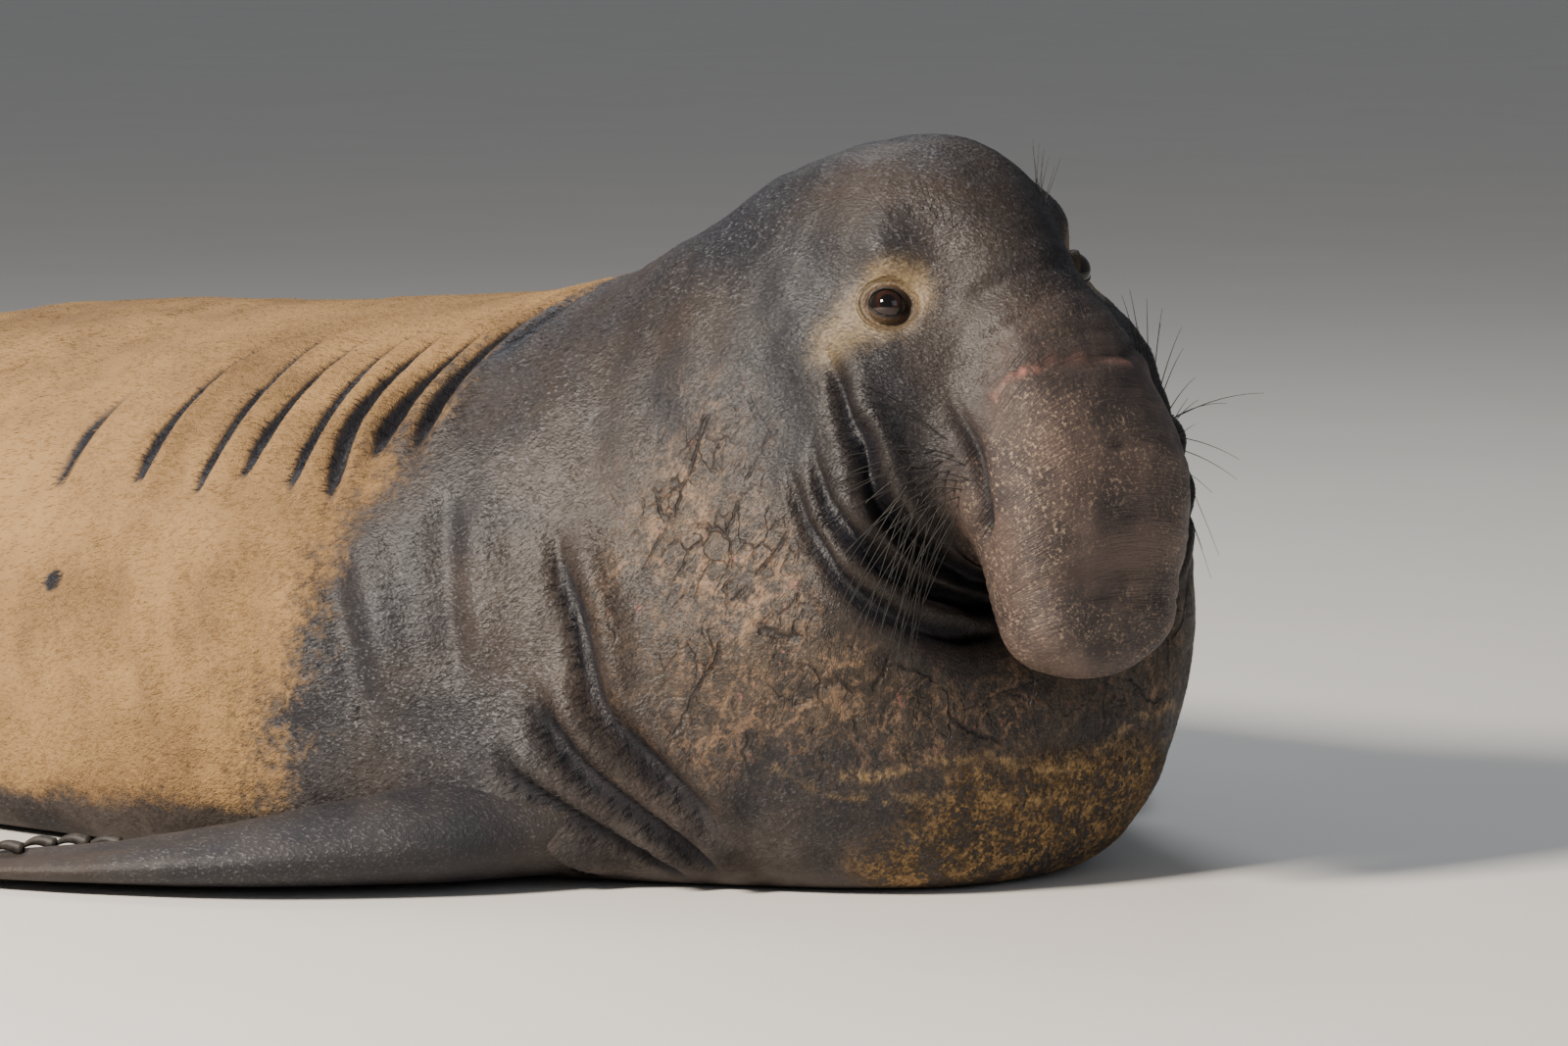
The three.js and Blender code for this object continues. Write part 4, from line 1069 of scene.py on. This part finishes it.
@dataclass
class Coat:
    """Short fur that lies flat towards the tail, as thin overlapping blades."""

    hide: Hide
    markings: Markings
    eyes: tuple[Eye, Eye]
    tries: int = 4
    floor_roots: float = 0.03
    floor_tips: float = 0.02
    eye_clear: float = 0.055
    lengths: tuple[float, float] = (0.6, 1.25)
    widths: tuple[float, float] = (0.7, 1.2)
    lifts: tuple[float, float] = (0.3, 1.2)
    swing: float = 0.22
    sag: float = 0.30
    root_sink: float = 0.0006
    middle_lift: float = 0.55
    middle_gap: float = 0.0004
    middle_width: float = 0.75
    bake_blade: tuple = ((0, 0), (0.003, 0), (0.003, 0.0015), (0, 0.0015), (0.0015, 0.003))

    def roots(self, patch: CoatPatch, draw: np.random.Generator) -> tuple[Array, Array]:
        """Places and angles of the roots, drawn so that each area of hide gets its share."""
        place = draw.uniform(patch.first, patch.last, patch.count * self.tries)
        angle = draw.uniform(0, 2 * np.pi, patch.count * self.tries)
        here = self.hide.plain(place, angle)
        area = np.linalg.norm(np.cross(*self.hide.stretches(place, angle, 0.01)), axis=-1)
        area[here[:, 2] - self.hide.shift[2] < self.floor_roots] = 0
        kept = draw.uniform(0, 1, len(area)) * np.quantile(area, 0.97) < area
        chosen = np.nonzero(kept)[0][:patch.count]
        return place[chosen], angle[chosen]

    def blades(self, patch: CoatPatch, draw: np.random.Generator, place: Array, angle: Array,
               root: Array) -> Array:
        """Five corners of each blade: two at the root, two at the middle, and the tip.

        The tip lies length behind the root and lift times the length above the hide, where it is
        read from the finished surface, so that the blades follow the folds.
        """
        delta = 0.006
        along, turning = (np.linalg.norm(move, axis=-1) / delta
                          for move in self.hide.stretches(place, angle, delta))
        length = patch.length * draw.uniform(*self.lengths, len(place))
        swing = draw.normal(0, self.swing, len(place)) + self.sag * np.sin(angle)
        back, side = length * np.cos(swing) / along, length * np.sin(swing) / turning
        middle = self.hide.surface(place - 0.5 * back, angle + 0.5 * side)[0]
        tip = self.hide.surface(place - back, angle + side)[0]
        out = self.hide.outward(place, angle)
        width = (patch.width * draw.uniform(*self.widths, len(place)))[:, None]
        across = unit(np.cross(out, unit(tip - root))) * width / 2
        lift = (patch.lift * length * draw.uniform(*self.lifts, len(place)))[:, None]
        root = root - out * self.root_sink
        middle = middle + out * (self.middle_lift * lift + self.middle_gap)
        inner = self.middle_width * across
        return np.stack([root - across, root + across, middle + inner, middle - inner, tip + out * lift], 1)

    def build(self, patch: CoatPatch) -> Piece:
        """One stretch of coat, with a quad and a triangle for each blade."""
        draw = np.random.default_rng(patch.seed)
        place, angle = self.roots(patch, draw)
        root, dark, wet = self.hide.surface(place, angle)
        corners = self.blades(patch, draw, place, angle, root)
        keep = corners[:, 4, 2] - self.hide.shift[2] > self.floor_tips
        for eye in self.eyes:
            keep &= np.linalg.norm(root - eye.frame()[0], axis=-1) > self.eye_clear
        corners, place, angle = corners[keep], place[keep], angle[keep]
        first = np.arange(len(corners))[:, None] * 5
        values = self.markings.read(place, angle, corners[:, 0], dark[keep], wet[keep])
        spot = np.stack([place / (LAST + 2) + 0.05, angle / (2 * np.pi)], -1) * 0.97 + 0.01
        bake = (spot[:, None] + np.array(self.bake_blade)[None]).reshape(-1, 2)
        return make_piece(patch.name, corners.reshape(-1, 3), [first + [[0, 1, 2, 3]], first + [[3, 2, 4]]],
                          {key: np.repeat(value, 5) for key, value in values.items()},
                          {"OFBake": bake, "hide_map": np.repeat(hide_map(place, angle), 5, axis=0)})


@dataclass
class Whiskers:
    """Stiff black bristles of the upper lip and over the eyes."""

    hide: Hide
    pad_rows: int = 7
    pad_columns: int = 7
    pad_corner: tuple[float, float] = (13.75, 84.0)
    pad_step: tuple[float, float] = (0.27, 4.4)
    pad_radius: float = 0.00075
    brow_count: int = 8
    brow_corner: tuple[float, float] = (12.15, 41.0)
    brow_step: tuple[float, float] = (0.13, -1.6)
    brow_radius: float = 0.0005

    def bristle(self, place: float, degrees: float, side: Side, length: float, lean: Array,
                radius: float, bow: float) -> tuple[Array, Array]:
        """One tapered tube: leaves the hide along its lean and bends by bow times the share squared."""
        points, _, _ = self.hide.surface(np.array([place]), np.array([side.angle(degrees)]))
        out = self.hide.at(place, degrees, side)[1]
        way = unit(out * 0.75 + lean * np.array([1, -side.value, 1]))
        s = np.linspace(-0.03, 1, 9)
        line = points[0] + way * (length * s)[:, None]
        line[:, 2] -= bow * length * np.maximum(s, 0) ** 2
        return tube(line, radius * (1 - 0.85 * np.clip(s, 0, 1)) + 0.00008, 5)

    def specs(self, draw: np.random.Generator) -> Iterator[tuple]:
        """Place, degrees, length, lean, radius and bow of each bristle of one side."""
        place_0, degrees_0 = self.pad_corner
        for row in range(self.pad_rows):
            for k in range(self.pad_columns):
                place = place_0 + self.pad_step[0] * k + draw.uniform(-0.05, 0.05)
                degrees = degrees_0 + self.pad_step[1] * row + 0.6 * k + draw.uniform(-1, 1)
                length = (0.075 + 0.014 * (6 - k) + 0.012 * row) * draw.uniform(0.75, 1.25)
                lean = np.array([-0.75 + 0.06 * k, 0.35, 0.25 - 0.16 * row + draw.uniform(-0.12, 0.12)])
                yield place, degrees, length, lean, self.pad_radius, 0.25
        place_0, degrees_0 = self.brow_corner
        for k in range(self.brow_count):
            place = place_0 + self.brow_step[0] * k + draw.uniform(-0.05, 0.05)
            degrees = degrees_0 + self.brow_step[1] * k + draw.uniform(-3, 3)
            lean = np.array([-0.9 + 0.12 * k, 0.1, 0.75])
            yield place, degrees, draw.uniform(0.035, 0.065), lean, self.brow_radius, -0.1

    def build(self, side: Side) -> Piece:
        """All bristles of one side: the rows of the pad and a tuft over the eye."""
        tubes = [self.bristle(place, degrees, side, *rest)
                 for place, degrees, *rest in self.specs(np.random.default_rng(40 + side.value))]
        starts = np.cumsum([0] + [len(points) for points, _ in tubes])
        faces = np.concatenate([faces + start for (_, faces), start in zip(tubes, starts)])
        points = np.concatenate([points for points, _ in tubes])
        return make_piece(f"whiskers_{side.name.lower()}", points, [faces])


@dataclass(frozen=True)
class Pattern:
    """Noise of a scale, detail and roughness, cut by a smooth step to a range of values."""

    scale: float
    detail: float
    rough: float
    low: float
    high: float
    least: float = 0.0
    most: float = 1.0
    stretch: tuple[float, float, float] | None = None


@dataclass(frozen=True)
class Net:
    """Lines along the edges of Voronoi cells: scale, stretch, width of the line and its strength."""

    scale: float
    stretch: tuple[float, float, float]
    width: float
    core: float = 0.0
    most: float = 1.0


class Wire:
    """A number in a material, whose arithmetic adds Math nodes."""

    def __init__(self, weave: "Weave", socket: Socket) -> None:
        """Keeps the material and the output that gives the number."""
        self.weave, self.socket = weave, socket

    def math(self, kind: str, other: "Wire | float", clamp: bool = False) -> "Wire":
        """One Math node on this number and another."""
        node = self.weave.node("Math")
        node.operation, node.use_clamp = kind, clamp
        self.weave.link(node.inputs[0], self)
        self.weave.link(node.inputs[1], other)
        return Wire(self.weave, node.outputs[0])

    def __add__(self, other: "Wire | float") -> "Wire":
        """Sum of two numbers."""
        return self.math("ADD", other)

    def __sub__(self, other: "Wire | float") -> "Wire":
        """Difference of two numbers."""
        return self.math("SUBTRACT", other)

    def __mul__(self, other: "Wire | float") -> "Wire":
        """Product of two numbers."""
        return self.math("MULTIPLY", other)

    def most(self, other: "Wire") -> "Wire":
        """The larger of two numbers."""
        return self.math("MAXIMUM", other)

    def step(self, low: float, high: float, least: float = 0.0, most: float = 1.0) -> "Wire":
        """Smooth step between low and high, from least to most."""
        node = self.weave.node("MapRange")
        node.interpolation_type = "SMOOTHSTEP"
        self.weave.link(node.inputs["Value"], self)
        for key, amount in (("From Min", low), ("From Max", high), ("To Min", least), ("To Max", most)):
            node.inputs[key].default_value = amount
        return Wire(self.weave, node.outputs[0])


class Weave:
    """A material's node tree, with a short call for each kind of node."""

    def __init__(self, name: str) -> None:
        """Starts a material with a Principled shader and its output."""
        self.material = bpy.data.materials.new(name)
        self.material.use_nodes = True
        self.tree = self.material.node_tree
        self.inputs = self.tree.nodes["Principled BSDF"].inputs
        self.coordinate = self.node("TexCoord").outputs["Object"]

    def node(self, kind: str) -> bpy.types.Node:
        """A new shader node of a kind."""
        return self.tree.nodes.new(f"ShaderNode{kind}")

    def link(self, socket: Socket, value: object) -> None:
        """Connects an output or sets a constant on an input."""
        value = value.socket if isinstance(value, Wire) else value
        if isinstance(value, Socket):
            self.tree.links.new(value, socket)
        elif isinstance(value, tuple) and socket.type == "RGBA":
            socket.default_value = (*value[:3], 1.0)
        else:
            socket.default_value = value

    def mark(self, name: str) -> Wire:
        """A point attribute as a number."""
        node = self.node("Attribute")
        node.attribute_name = name
        return Wire(self, node.outputs["Fac"])

    def scaled(self, vector: Socket, scale: tuple[float, float, float] | None) -> Socket:
        """Coordinates stretched by a Mapping node, or as they are."""
        if scale is None:
            return vector
        node = self.node("Mapping")
        self.link(node.inputs["Vector"], vector)
        node.inputs["Scale"].default_value = scale
        return node.outputs[0]

    def noise(self, scale: float, detail: float, rough: float,
              stretch: tuple[float, float, float] | None = None, vector: Socket | None = None) -> Wire:
        """Noise on Object coordinates, or on the vector given."""
        node = self.node("TexNoise")
        self.link(node.inputs["Vector"], self.scaled(vector or self.coordinate, stretch))
        for key, amount in (("Scale", scale), ("Detail", detail), ("Roughness", rough)):
            node.inputs[key].default_value = amount
        return Wire(self, node.outputs["Fac"])

    def pattern(self, kind: Pattern) -> Wire:
        """A pattern's noise, cut by its step."""
        return self.noise(kind.scale, kind.detail, kind.rough, kind.stretch).step(
            kind.low, kind.high, kind.least, kind.most)

    def net(self, kind: Net, wave: Wire) -> Wire:
        """A net's lines on Object coordinates moved by a wave."""
        moved = self.node("VectorMath")
        moved.operation = "ADD"
        self.link(moved.inputs[0], self.coordinate)
        self.link(moved.inputs[1], wave)
        node = self.node("TexVoronoi")
        node.feature = "DISTANCE_TO_EDGE"
        self.link(node.inputs["Vector"], self.scaled(moved.outputs[0], kind.stretch))
        node.inputs["Scale"].default_value = kind.scale
        return Wire(self, node.outputs["Distance"]).step(kind.width, kind.core, 0.0, kind.most)

    def blend(self, share: Wire, a: object, b: object) -> Socket:
        """Colour between a and b."""
        node = self.node("Mix")
        node.data_type = "RGBA"
        for number, value in ((0, share), (6, a), (7, b)):
            self.link(node.inputs[number], value)
        return node.outputs[2]

    def bump(self, height: Wire, distance: float, strength: float) -> None:
        """Surface grain from a height."""
        node = self.node("Bump")
        node.inputs["Distance"].default_value = distance
        node.inputs["Strength"].default_value = strength
        self.link(node.inputs["Height"], height)
        self.link(self.inputs["Normal"], node.outputs[0])

    def dress(self, piece: Piece) -> None:
        """Gives the material to a piece."""
        piece.data.materials.clear()
        piece.data.materials.append(self.material)


@dataclass(frozen=True)
class HideFinish:
    """Fur, bare hide, sand, scars and damp of the whole animal, with painted shade in and beside the folds and
    painted sheen on the fur.
    """

    charcoal: tuple = (0.016, 0.016, 0.020)
    brown: tuple = (0.038, 0.028, 0.023)
    # Pale hair tips with painted glints and sheen of the short fur.
    pale: tuple = (0.150, 0.148, 0.160)
    # Real dust with a painted whitish sheen, low on the flank and on the flippers.
    dust_and_sheen: tuple = (0.105, 0.090, 0.082)
    sand: tuple = (0.360, 0.215, 0.088)
    sand_dark: tuple = (0.180, 0.104, 0.044)
    sand_grain: tuple = (0.520, 0.350, 0.170)
    leather: tuple = (0.072, 0.052, 0.036)
    leather_dark: tuple = (0.030, 0.023, 0.018)
    fleck: tuple = (0.270, 0.165, 0.095)
    pink: tuple = (0.340, 0.145, 0.115)
    crack: tuple = (0.014, 0.010, 0.009)
    trunk: tuple = (0.118, 0.082, 0.068)
    trunk_dark: tuple = (0.045, 0.034, 0.032)
    trunk_grain: tuple = (0.380, 0.275, 0.195)
    eye_patch: tuple = (0.205, 0.145, 0.074)
    lid: tuple = (0.055, 0.033, 0.020)
    lid_edge: tuple = (0.006, 0.005, 0.005)
    golden: tuple = (0.350, 0.220, 0.095)
    golden_dark: tuple = (0.140, 0.085, 0.040)
    tide: tuple = (0.400, 0.265, 0.125)
    # Painted shade in the fold creases, also the colour of the wound.
    groove_shade: tuple = (0.010, 0.010, 0.014)
    # Darker damp hide beside the folds, partly painted shade.
    damp_and_shade: tuple = (0.020, 0.015, 0.013)
    brown_fields: Pattern = Pattern(3.2, 4, 0.55, 0.38, 0.64)
    tip_and_sheen_fields: Pattern = Pattern(4.5, 5, 0.6, 0.34, 0.70, 0.12, 0.75)
    dust_and_sheen_fields: Pattern = Pattern(9.0, 6, 0.65, 0.35, 0.65, 0.0, 0.6)
    snout_fields: Pattern = Pattern(11.0, 5, 0.62, 0.36, 0.66)
    snout_spots: Pattern = Pattern(210.0, 4, 0.7, 0.52, 0.66)
    spot_fields: Pattern = Pattern(9.0, 3, 0.55, 0.38, 0.62)
    leather_fields: Pattern = Pattern(24.0, 7, 0.72, 0.38, 0.62)
    scar_net: Net = Net(17.0, (1.0, 1.0, 0.6), 0.070)
    fine_net: Net = Net(41.0, (1.0, 1.0, 0.7), 0.08, most=0.7)
    net_gaps: Pattern = Pattern(58.0, 5, 0.72, 0.42, 0.56)
    scar_fields: Pattern = Pattern(7.0, 4, 0.6, 0.30, 0.66, 0.25, 1.0)
    flecks: Pattern = Pattern(70.0, 7, 0.76, 0.54, 0.62, 0.0, 0.6, (1.0, 1.0, 0.6))
    raw_spots: Pattern = Pattern(44.0, 6, 0.74, 0.62, 0.68, 0.0, 0.75, (1.0, 1.0, 0.7))
    long_cracks: Net = Net(10.0, (1.0, 1.0, 0.42), 0.030, 0.004)
    fine_cracks: Net = Net(34.0, (1.0, 1.0, 0.5), 0.045, most=0.45)
    crack_gaps: Pattern = Pattern(15.0, 3, 0.6, 0.42, 0.56)
    sand_fields: Pattern = Pattern(5.0, 6, 0.62, 0.30, 0.70)
    gold_grains: Pattern = Pattern(230.0, 4, 0.7, 0.38, 0.62)
    tide_gaps: Pattern = Pattern(60.0, 4, 0.7, 0.44, 0.56, 0.0, 0.85)
    scar_gaps: Pattern = Pattern(90.0, 3, 0.6, 0.25, 0.50, 0.45, 0.95)
    bump_distance: float = 0.0035
    bump_strength: float = 0.8
    specular: float = 0.30

    def fur(self, w: Weave, marks: dict[str, Wire], grain: Wire) -> Socket:
        """Charcoal fur with browner fields, pale hair tips with painted glints and sheen, and dust with a
        painted whitish sheen low on the flank.
        """
        colour = w.blend(w.pattern(self.brown_fields), self.charcoal, self.brown)
        # Pale hair tips, with painted glints and patches of painted sheen.
        colour = w.blend(grain.step(0.54, 0.72) * w.pattern(self.tip_and_sheen_fields), colour, self.pale)
        # Dust with a painted whitish sheen where the body is low.
        return w.blend(marks["low"] * w.pattern(self.dust_and_sheen_fields), colour, self.dust_and_sheen)

    def snout(self, w: Weave, marks: dict[str, Wire], colour: Socket) -> Socket:
        """Greyer, pinker hide of the proboscis with pale grains."""
        tone = w.blend(w.pattern(self.snout_fields), self.trunk_dark, self.trunk)
        spots = w.pattern(self.snout_spots) * w.pattern(self.spot_fields)
        tone = w.blend(spots * 0.75, tone, self.trunk_grain)
        return w.blend(marks["trunk"] * 0.92, colour, tone)

    def chest(self, w: Weave, shield: Wire, cracks: Wire, colour: Socket, grain: Wire) -> Socket:
        """Leathery chest shield: mottled brown under a net of thin tan and pink scars, dark cracks."""
        wave = (w.noise(30.0, 5, 0.7) - 0.5) * 0.06
        net = w.net(self.scar_net, wave).most(w.net(self.fine_net, wave)) * w.pattern(self.net_gaps)
        field = w.pattern(self.scar_fields)
        tone = w.blend(w.pattern(self.leather_fields), self.leather_dark, self.leather)
        for share, over in ((net * field, self.fleck), (w.pattern(self.flecks) * field, self.fleck),
                            (w.pattern(self.raw_spots), self.pink),
                            # Pale hair tips and painted glints on the shield.
                            (grain.step(0.56, 0.76, 0.0, 0.22), self.pale), (cracks * 0.9, self.crack)):
            tone = w.blend(share, tone, over)
        return w.blend(shield * 0.88, colour, tone)

    def cracks(self, w: Weave) -> Wire:
        """Long, broken upright cracks: edges of tall cells on slightly wavy coordinates."""
        wave = (w.noise(16.0, 3, 0.6) - 0.5) * 0.055
        broken = w.pattern(self.crack_gaps)
        return (w.net(self.long_cracks, wave) * broken).most(w.net(self.fine_cracks, wave) * broken)

    def build(self) -> Weave:
        """Builds the material from the point attributes and noise."""
        w = Weave("hide")
        marks = {name: w.mark(name) for name in MARKS}
        grain = w.noise(300.0, 2, 0.6, stretch=(0.55, 1.0, 1.0))
        speck = w.noise(620.0, 1, 0.5)
        ragged = w.noise(9.0, 6, 0.65) - 0.5
        feather = w.noise(80.0, 4, 0.7) - 0.5
        shield = (marks["shield"] + ragged * 2.6).step(-0.5, 1.3)
        cracks = self.cracks(w)
        worn = (marks["patch"] + (ragged + feather) * 0.7).step(0.05, 1.0)
        sandy = (marks["sand"] + ragged * 2.2 + feather * 1.3).step(-0.15, 0.7)
        sandy = sandy * marks["crease"].step(0.45, 0.16)
        sand = w.blend(w.pattern(self.sand_fields), self.sand_dark, self.sand)
        sand = w.blend(speck.step(0.5, 0.7, 0.0, 0.35), sand, self.sand_grain)
        clump = (w.noise(150.0, 6, 0.75) * 0.6 + w.noise(32.0, 5, 0.7) * 0.4).step(0.44, 0.54)
        crust = (marks["crust"] + ragged).step(0.25, 0.95) * clump
        gold = w.blend(w.pattern(self.gold_grains), self.golden_dark, self.golden)
        colour = self.snout(w, marks, self.fur(w, marks, grain))
        colour = self.chest(w, shield, cracks, colour, grain)
        for share, over in ((worn * grain.step(0.30, 0.62, 0.35, 1.0) * 0.88, self.eye_patch),
                            (marks["lid"].step(0.18, 0.55, 0.0, 0.85), self.lid),
                            (marks["lid"].step(0.66, 0.86), self.lid_edge),
                            # Darker damp hide beside the folds, partly painted shade.
                            (marks["wet"] * 0.8, self.damp_and_shade),
                            # Painted shade in the fold creases, and the dark wound.
                            (marks["crease"].step(0.10, 0.60, 0.0, 0.9), self.groove_shade),
                            (sandy * 0.93, sand), (crust * 0.9, gold),
                            (marks["tide"] * w.pattern(self.tide_gaps), self.tide),
                            (marks["scar"] * w.pattern(self.scar_gaps), self.pink)):
            colour = w.blend(share, colour, over)
        w.link(w.inputs["Base Color"], colour)
        dry = sandy.most(crust)
        rough = w.noise(17.0, 5, 0.6) * 0.22 + 0.36 - marks["wet"] * 0.03 + marks["low"] * 0.45
        w.link(w.inputs["Roughness"], rough.math("ADD", dry * 0.45, clamp=True))
        w.link(w.inputs["Specular IOR Level"], self.specular)
        w.bump(self.height(w, marks["trunk"], grain, speck, shield, cracks, dry), self.bump_distance,
               self.bump_strength)
        return w

    def height(self, w: Weave, trunk: Wire, grain: Wire, speck: Wire, shield: Wire, cracks: Wire,
               dry: Wire) -> Wire:
        """Grain of the fur, cross wrinkles of the snout, cracks of the shield and grit of the sand."""
        uv = w.node("UVMap")
        uv.uv_map = "hide_map"
        wrinkle = w.noise(1.0, 4, 0.6, stretch=(330.0, 34.0, 1.0), vector=uv.outputs[0])
        leather = w.noise(48.0, 5, 0.7, stretch=(1.0, 1.0, 0.55)) * 1.3 - cracks * 1.1
        gritty = speck * 0.5 + w.noise(150.0, 3, 0.7)
        fur = grain * 0.45 + w.noise(85.0, 4, 0.6) * 0.40
        return fur + wrinkle * trunk * 1.1 + leather * shield + gritty * dry


@dataclass(frozen=True)
class EyeFinish:
    """Wet dark eye: black pupil, red-brown iris, dark brown rest, by the colatitude on each point."""

    pupil: tuple = (0.003, 0.002, 0.002)
    iris: tuple = (0.026, 0.009, 0.005)
    iris_dark: tuple = (0.009, 0.004, 0.003)
    rest: tuple = (0.006, 0.004, 0.003)
    streaks: Pattern = Pattern(60.0, 3, 0.6, 0.35, 0.65)
    pupil_edge: tuple[float, float] = (0.32, 0.44)
    iris_edge: tuple[float, float] = (0.60, 0.78)
    roughness: float = 0.06

    def build(self) -> Weave:
        """Builds the material from the colatitude kept on each point."""
        w = Weave("eye")
        t = w.mark("iris")
        iris = w.blend(w.pattern(self.streaks), self.iris_dark, self.iris)
        colour = w.blend(t.step(*self.pupil_edge), self.pupil, iris)
        w.link(w.inputs["Base Color"], w.blend(t.step(*self.iris_edge), colour, self.rest))
        w.link(w.inputs["Roughness"], self.roughness)
        return w


@dataclass(frozen=True)
class HornFinish:
    """Dark horn of nails and bristles."""

    name: str
    deep: tuple = (0.012, 0.010, 0.009)
    light: tuple = (0.044, 0.035, 0.028)
    roughness: float = 0.62

    def build(self) -> Weave:
        """Builds the material: streaks of lighter horn in dark horn."""
        w = Weave(self.name)
        streak = w.noise(120.0, 4, 0.6)
        w.link(w.inputs["Base Color"], w.blend(streak.step(0.4, 0.75), self.deep, self.light))
        w.link(w.inputs["Roughness"], self.roughness)
        w.bump(streak, 0.0006, 0.5)
        return w


@dataclass(frozen=True)
class Lamp:
    """A square area light: its direction as shares backwards, to the right and up, and its strength."""

    name: str
    way: tuple[float, float, float]
    reach: float
    size: float
    power: float
    tint: tuple[float, float, float]


LAMPS = (
    Lamp("key", (0.62, -0.80, 0.62), 6.5, 1.3, 1080.0, (1.0, 0.90, 0.78)),
    Lamp("fill", (0.9, 0.8, 0.35), 8.0, 4.0, 60.0, (0.82, 0.90, 1.0)),
    Lamp("rim", (-0.7, -0.2, 1.0), 7.0, 3.0, 160.0, (0.90, 0.95, 1.0)),
)


def link_at(name: str, data: bpy.types.ID, axes: Sequence[Array], place: Array) -> Piece:
    """Puts a camera or a light into the scene with its three axes and its place."""
    thing = bpy.data.objects.new(name, data)
    matrix = np.eye(4)
    matrix[:3] = np.stack([*axes, place], axis=1)
    thing.matrix_world = Matrix(matrix.tolist())
    bpy.context.scene.collection.objects.link(thing)
    return thing


@dataclass
class Studio:
    """Floor, lights and the camera at the photograph's viewing angle."""

    hide: Hide
    azimuth: float = 38.0
    elevation: float = 6.0
    distance: float = 8.0
    metres_a_pixel: float = 1.15e-3
    eye_pixel: tuple[float, float] = (903.0, 309.0)
    sensor: float = 36.0
    clip_end: float = 200.0
    lit_place: tuple[float, float] = (10.0, 80.0)
    sky: tuple[float, float, float, float] = (0.80, 0.83, 0.88, 1.0)
    sky_strength: float = 0.25
    floor_reach: float = 80.0
    floor_tones: tuple = ((0.66, 0.64, 0.61), (0.72, 0.70, 0.67))

    def axes(self) -> tuple[Array, Array, Array]:
        """The camera's right, up and backward directions."""
        a, e = np.radians(self.azimuth), np.radians(self.elevation)
        right = np.array([np.cos(a), np.sin(a), 0.0])
        back = np.array([np.sin(a) * np.cos(e), -np.cos(a) * np.cos(e), np.sin(e)])
        return right, np.cross(back, right), back

    def camera(self) -> None:
        """Stands the camera so that the near eye falls on its pixel of the photograph."""
        right, up, back = self.axes()
        eye = self.hide.at(EYE_PLACE, EYE_DEGREES, Side.RIGHT)[0]
        across = (self.eye_pixel[0] - PHOTO_WIDTH / 2) * self.metres_a_pixel
        above = (PHOTO_HEIGHT / 2 - self.eye_pixel[1]) * self.metres_a_pixel
        data = bpy.data.cameras.new("camera")
        data.sensor_width, data.clip_end = self.sensor, self.clip_end
        data.lens = self.sensor * self.distance / self.metres_a_pixel / PHOTO_WIDTH
        place = eye - right * across - up * above + back * self.distance
        bpy.context.scene.camera = link_at("camera", data, (right, up, back), place)

    def light(self, lamp: Lamp) -> None:
        """Aims one area light at the side of the head."""
        right, _, back = self.axes()
        data = bpy.data.lights.new(lamp.name, "AREA")
        data.size, data.energy, data.color = lamp.size, lamp.power, lamp.tint
        high = np.array([0.0, 0.0, 1.0])
        out = unit(back * lamp.way[0] + right * lamp.way[1] + high * lamp.way[2])
        across = unit(np.cross(high, out))
        target = self.hide.at(*self.lit_place, Side.RIGHT)[0]
        link_at(lamp.name, data, (across, np.cross(out, across), out), target + out * lamp.reach)

    def build(self) -> None:
        """Sets up the camera, the lamps, a pale world and the floor."""
        self.camera()
        for lamp in LAMPS:
            self.light(lamp)
        world = bpy.data.worlds.new("studio")
        world.use_nodes = True
        background = world.node_tree.nodes["Background"]
        background.inputs["Color"].default_value = self.sky
        background.inputs["Strength"].default_value = self.sky_strength
        bpy.context.scene.world = world
        corners = np.array([[-1, -1, 0], [1, -1, 0], [1, 1, 0], [-1, 1, 0]]) * self.floor_reach
        floor = make_piece("floor", corners, [np.array([[0, 1, 2, 3]])])
        w = Weave("floor")
        w.link(w.inputs["Base Color"], w.blend(w.noise(1.5, 3, 0.55), *self.floor_tones))
        w.link(w.inputs["Roughness"], 0.9)
        w.dress(floor)


def dress(piece: Piece, weave: Weave, nodes: Sequence[str] = ()) -> None:
    """Gives a piece its finish, its body and the nodes it stands for, and logs it."""
    weave.dress(piece)
    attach(piece, "root")
    if nodes:
        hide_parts(*nodes)
    piece.data.calc_loop_triangles()
    log.info("%s: %d triangles", piece.name, len(piece.data.loop_triangles))


def main() -> None:
    """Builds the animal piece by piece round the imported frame."""
    logging.basicConfig(level=logging.INFO, format="%(message)s")
    hide = Hide()
    low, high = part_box("eye_right")
    centre = (np.array(low) + np.array(high)) / 2
    hide.shift = centre - Eye(hide, Side.RIGHT).frame()[0]
    hide.prepare((*JAW_FOLDS, *SNOUT_FOLDS, *SHOULDER_FOLDS, *BACK_FOLDS))
    Studio(hide).build()
    markings = Markings(hide)
    eyes = (Eye(hide, Side.RIGHT), Eye(hide, Side.LEFT))
    limbs = Limbs(hide)
    hide_finish = HideFinish().build()
    dress(Skin(hide, markings, limbs, eyes).build(), hide_finish, FLESH_NODES)
    eye_finish = EyeFinish().build()
    for eye in eyes:
        dress(eye.ball(), eye_finish, (f"eye_{eye.side.name.lower()}",))
    horn = HornFinish("horn").build()
    bristle = HornFinish("bristle", light=(0.03, 0.026, 0.022)).build()
    for side in Side:
        for digit in range(FORE_FLIPPER.digits):
            dress(limbs.nail(digit, side), horn, (f"nail_{side.name.lower()}_{digit + 1}",))
        dress(Whiskers(hide).build(side), bristle)
    coat = Coat(hide, markings, eyes)
    for patch in COAT:
        dress(coat.build(patch), hide_finish)


if __name__ == "__main__":
    main()
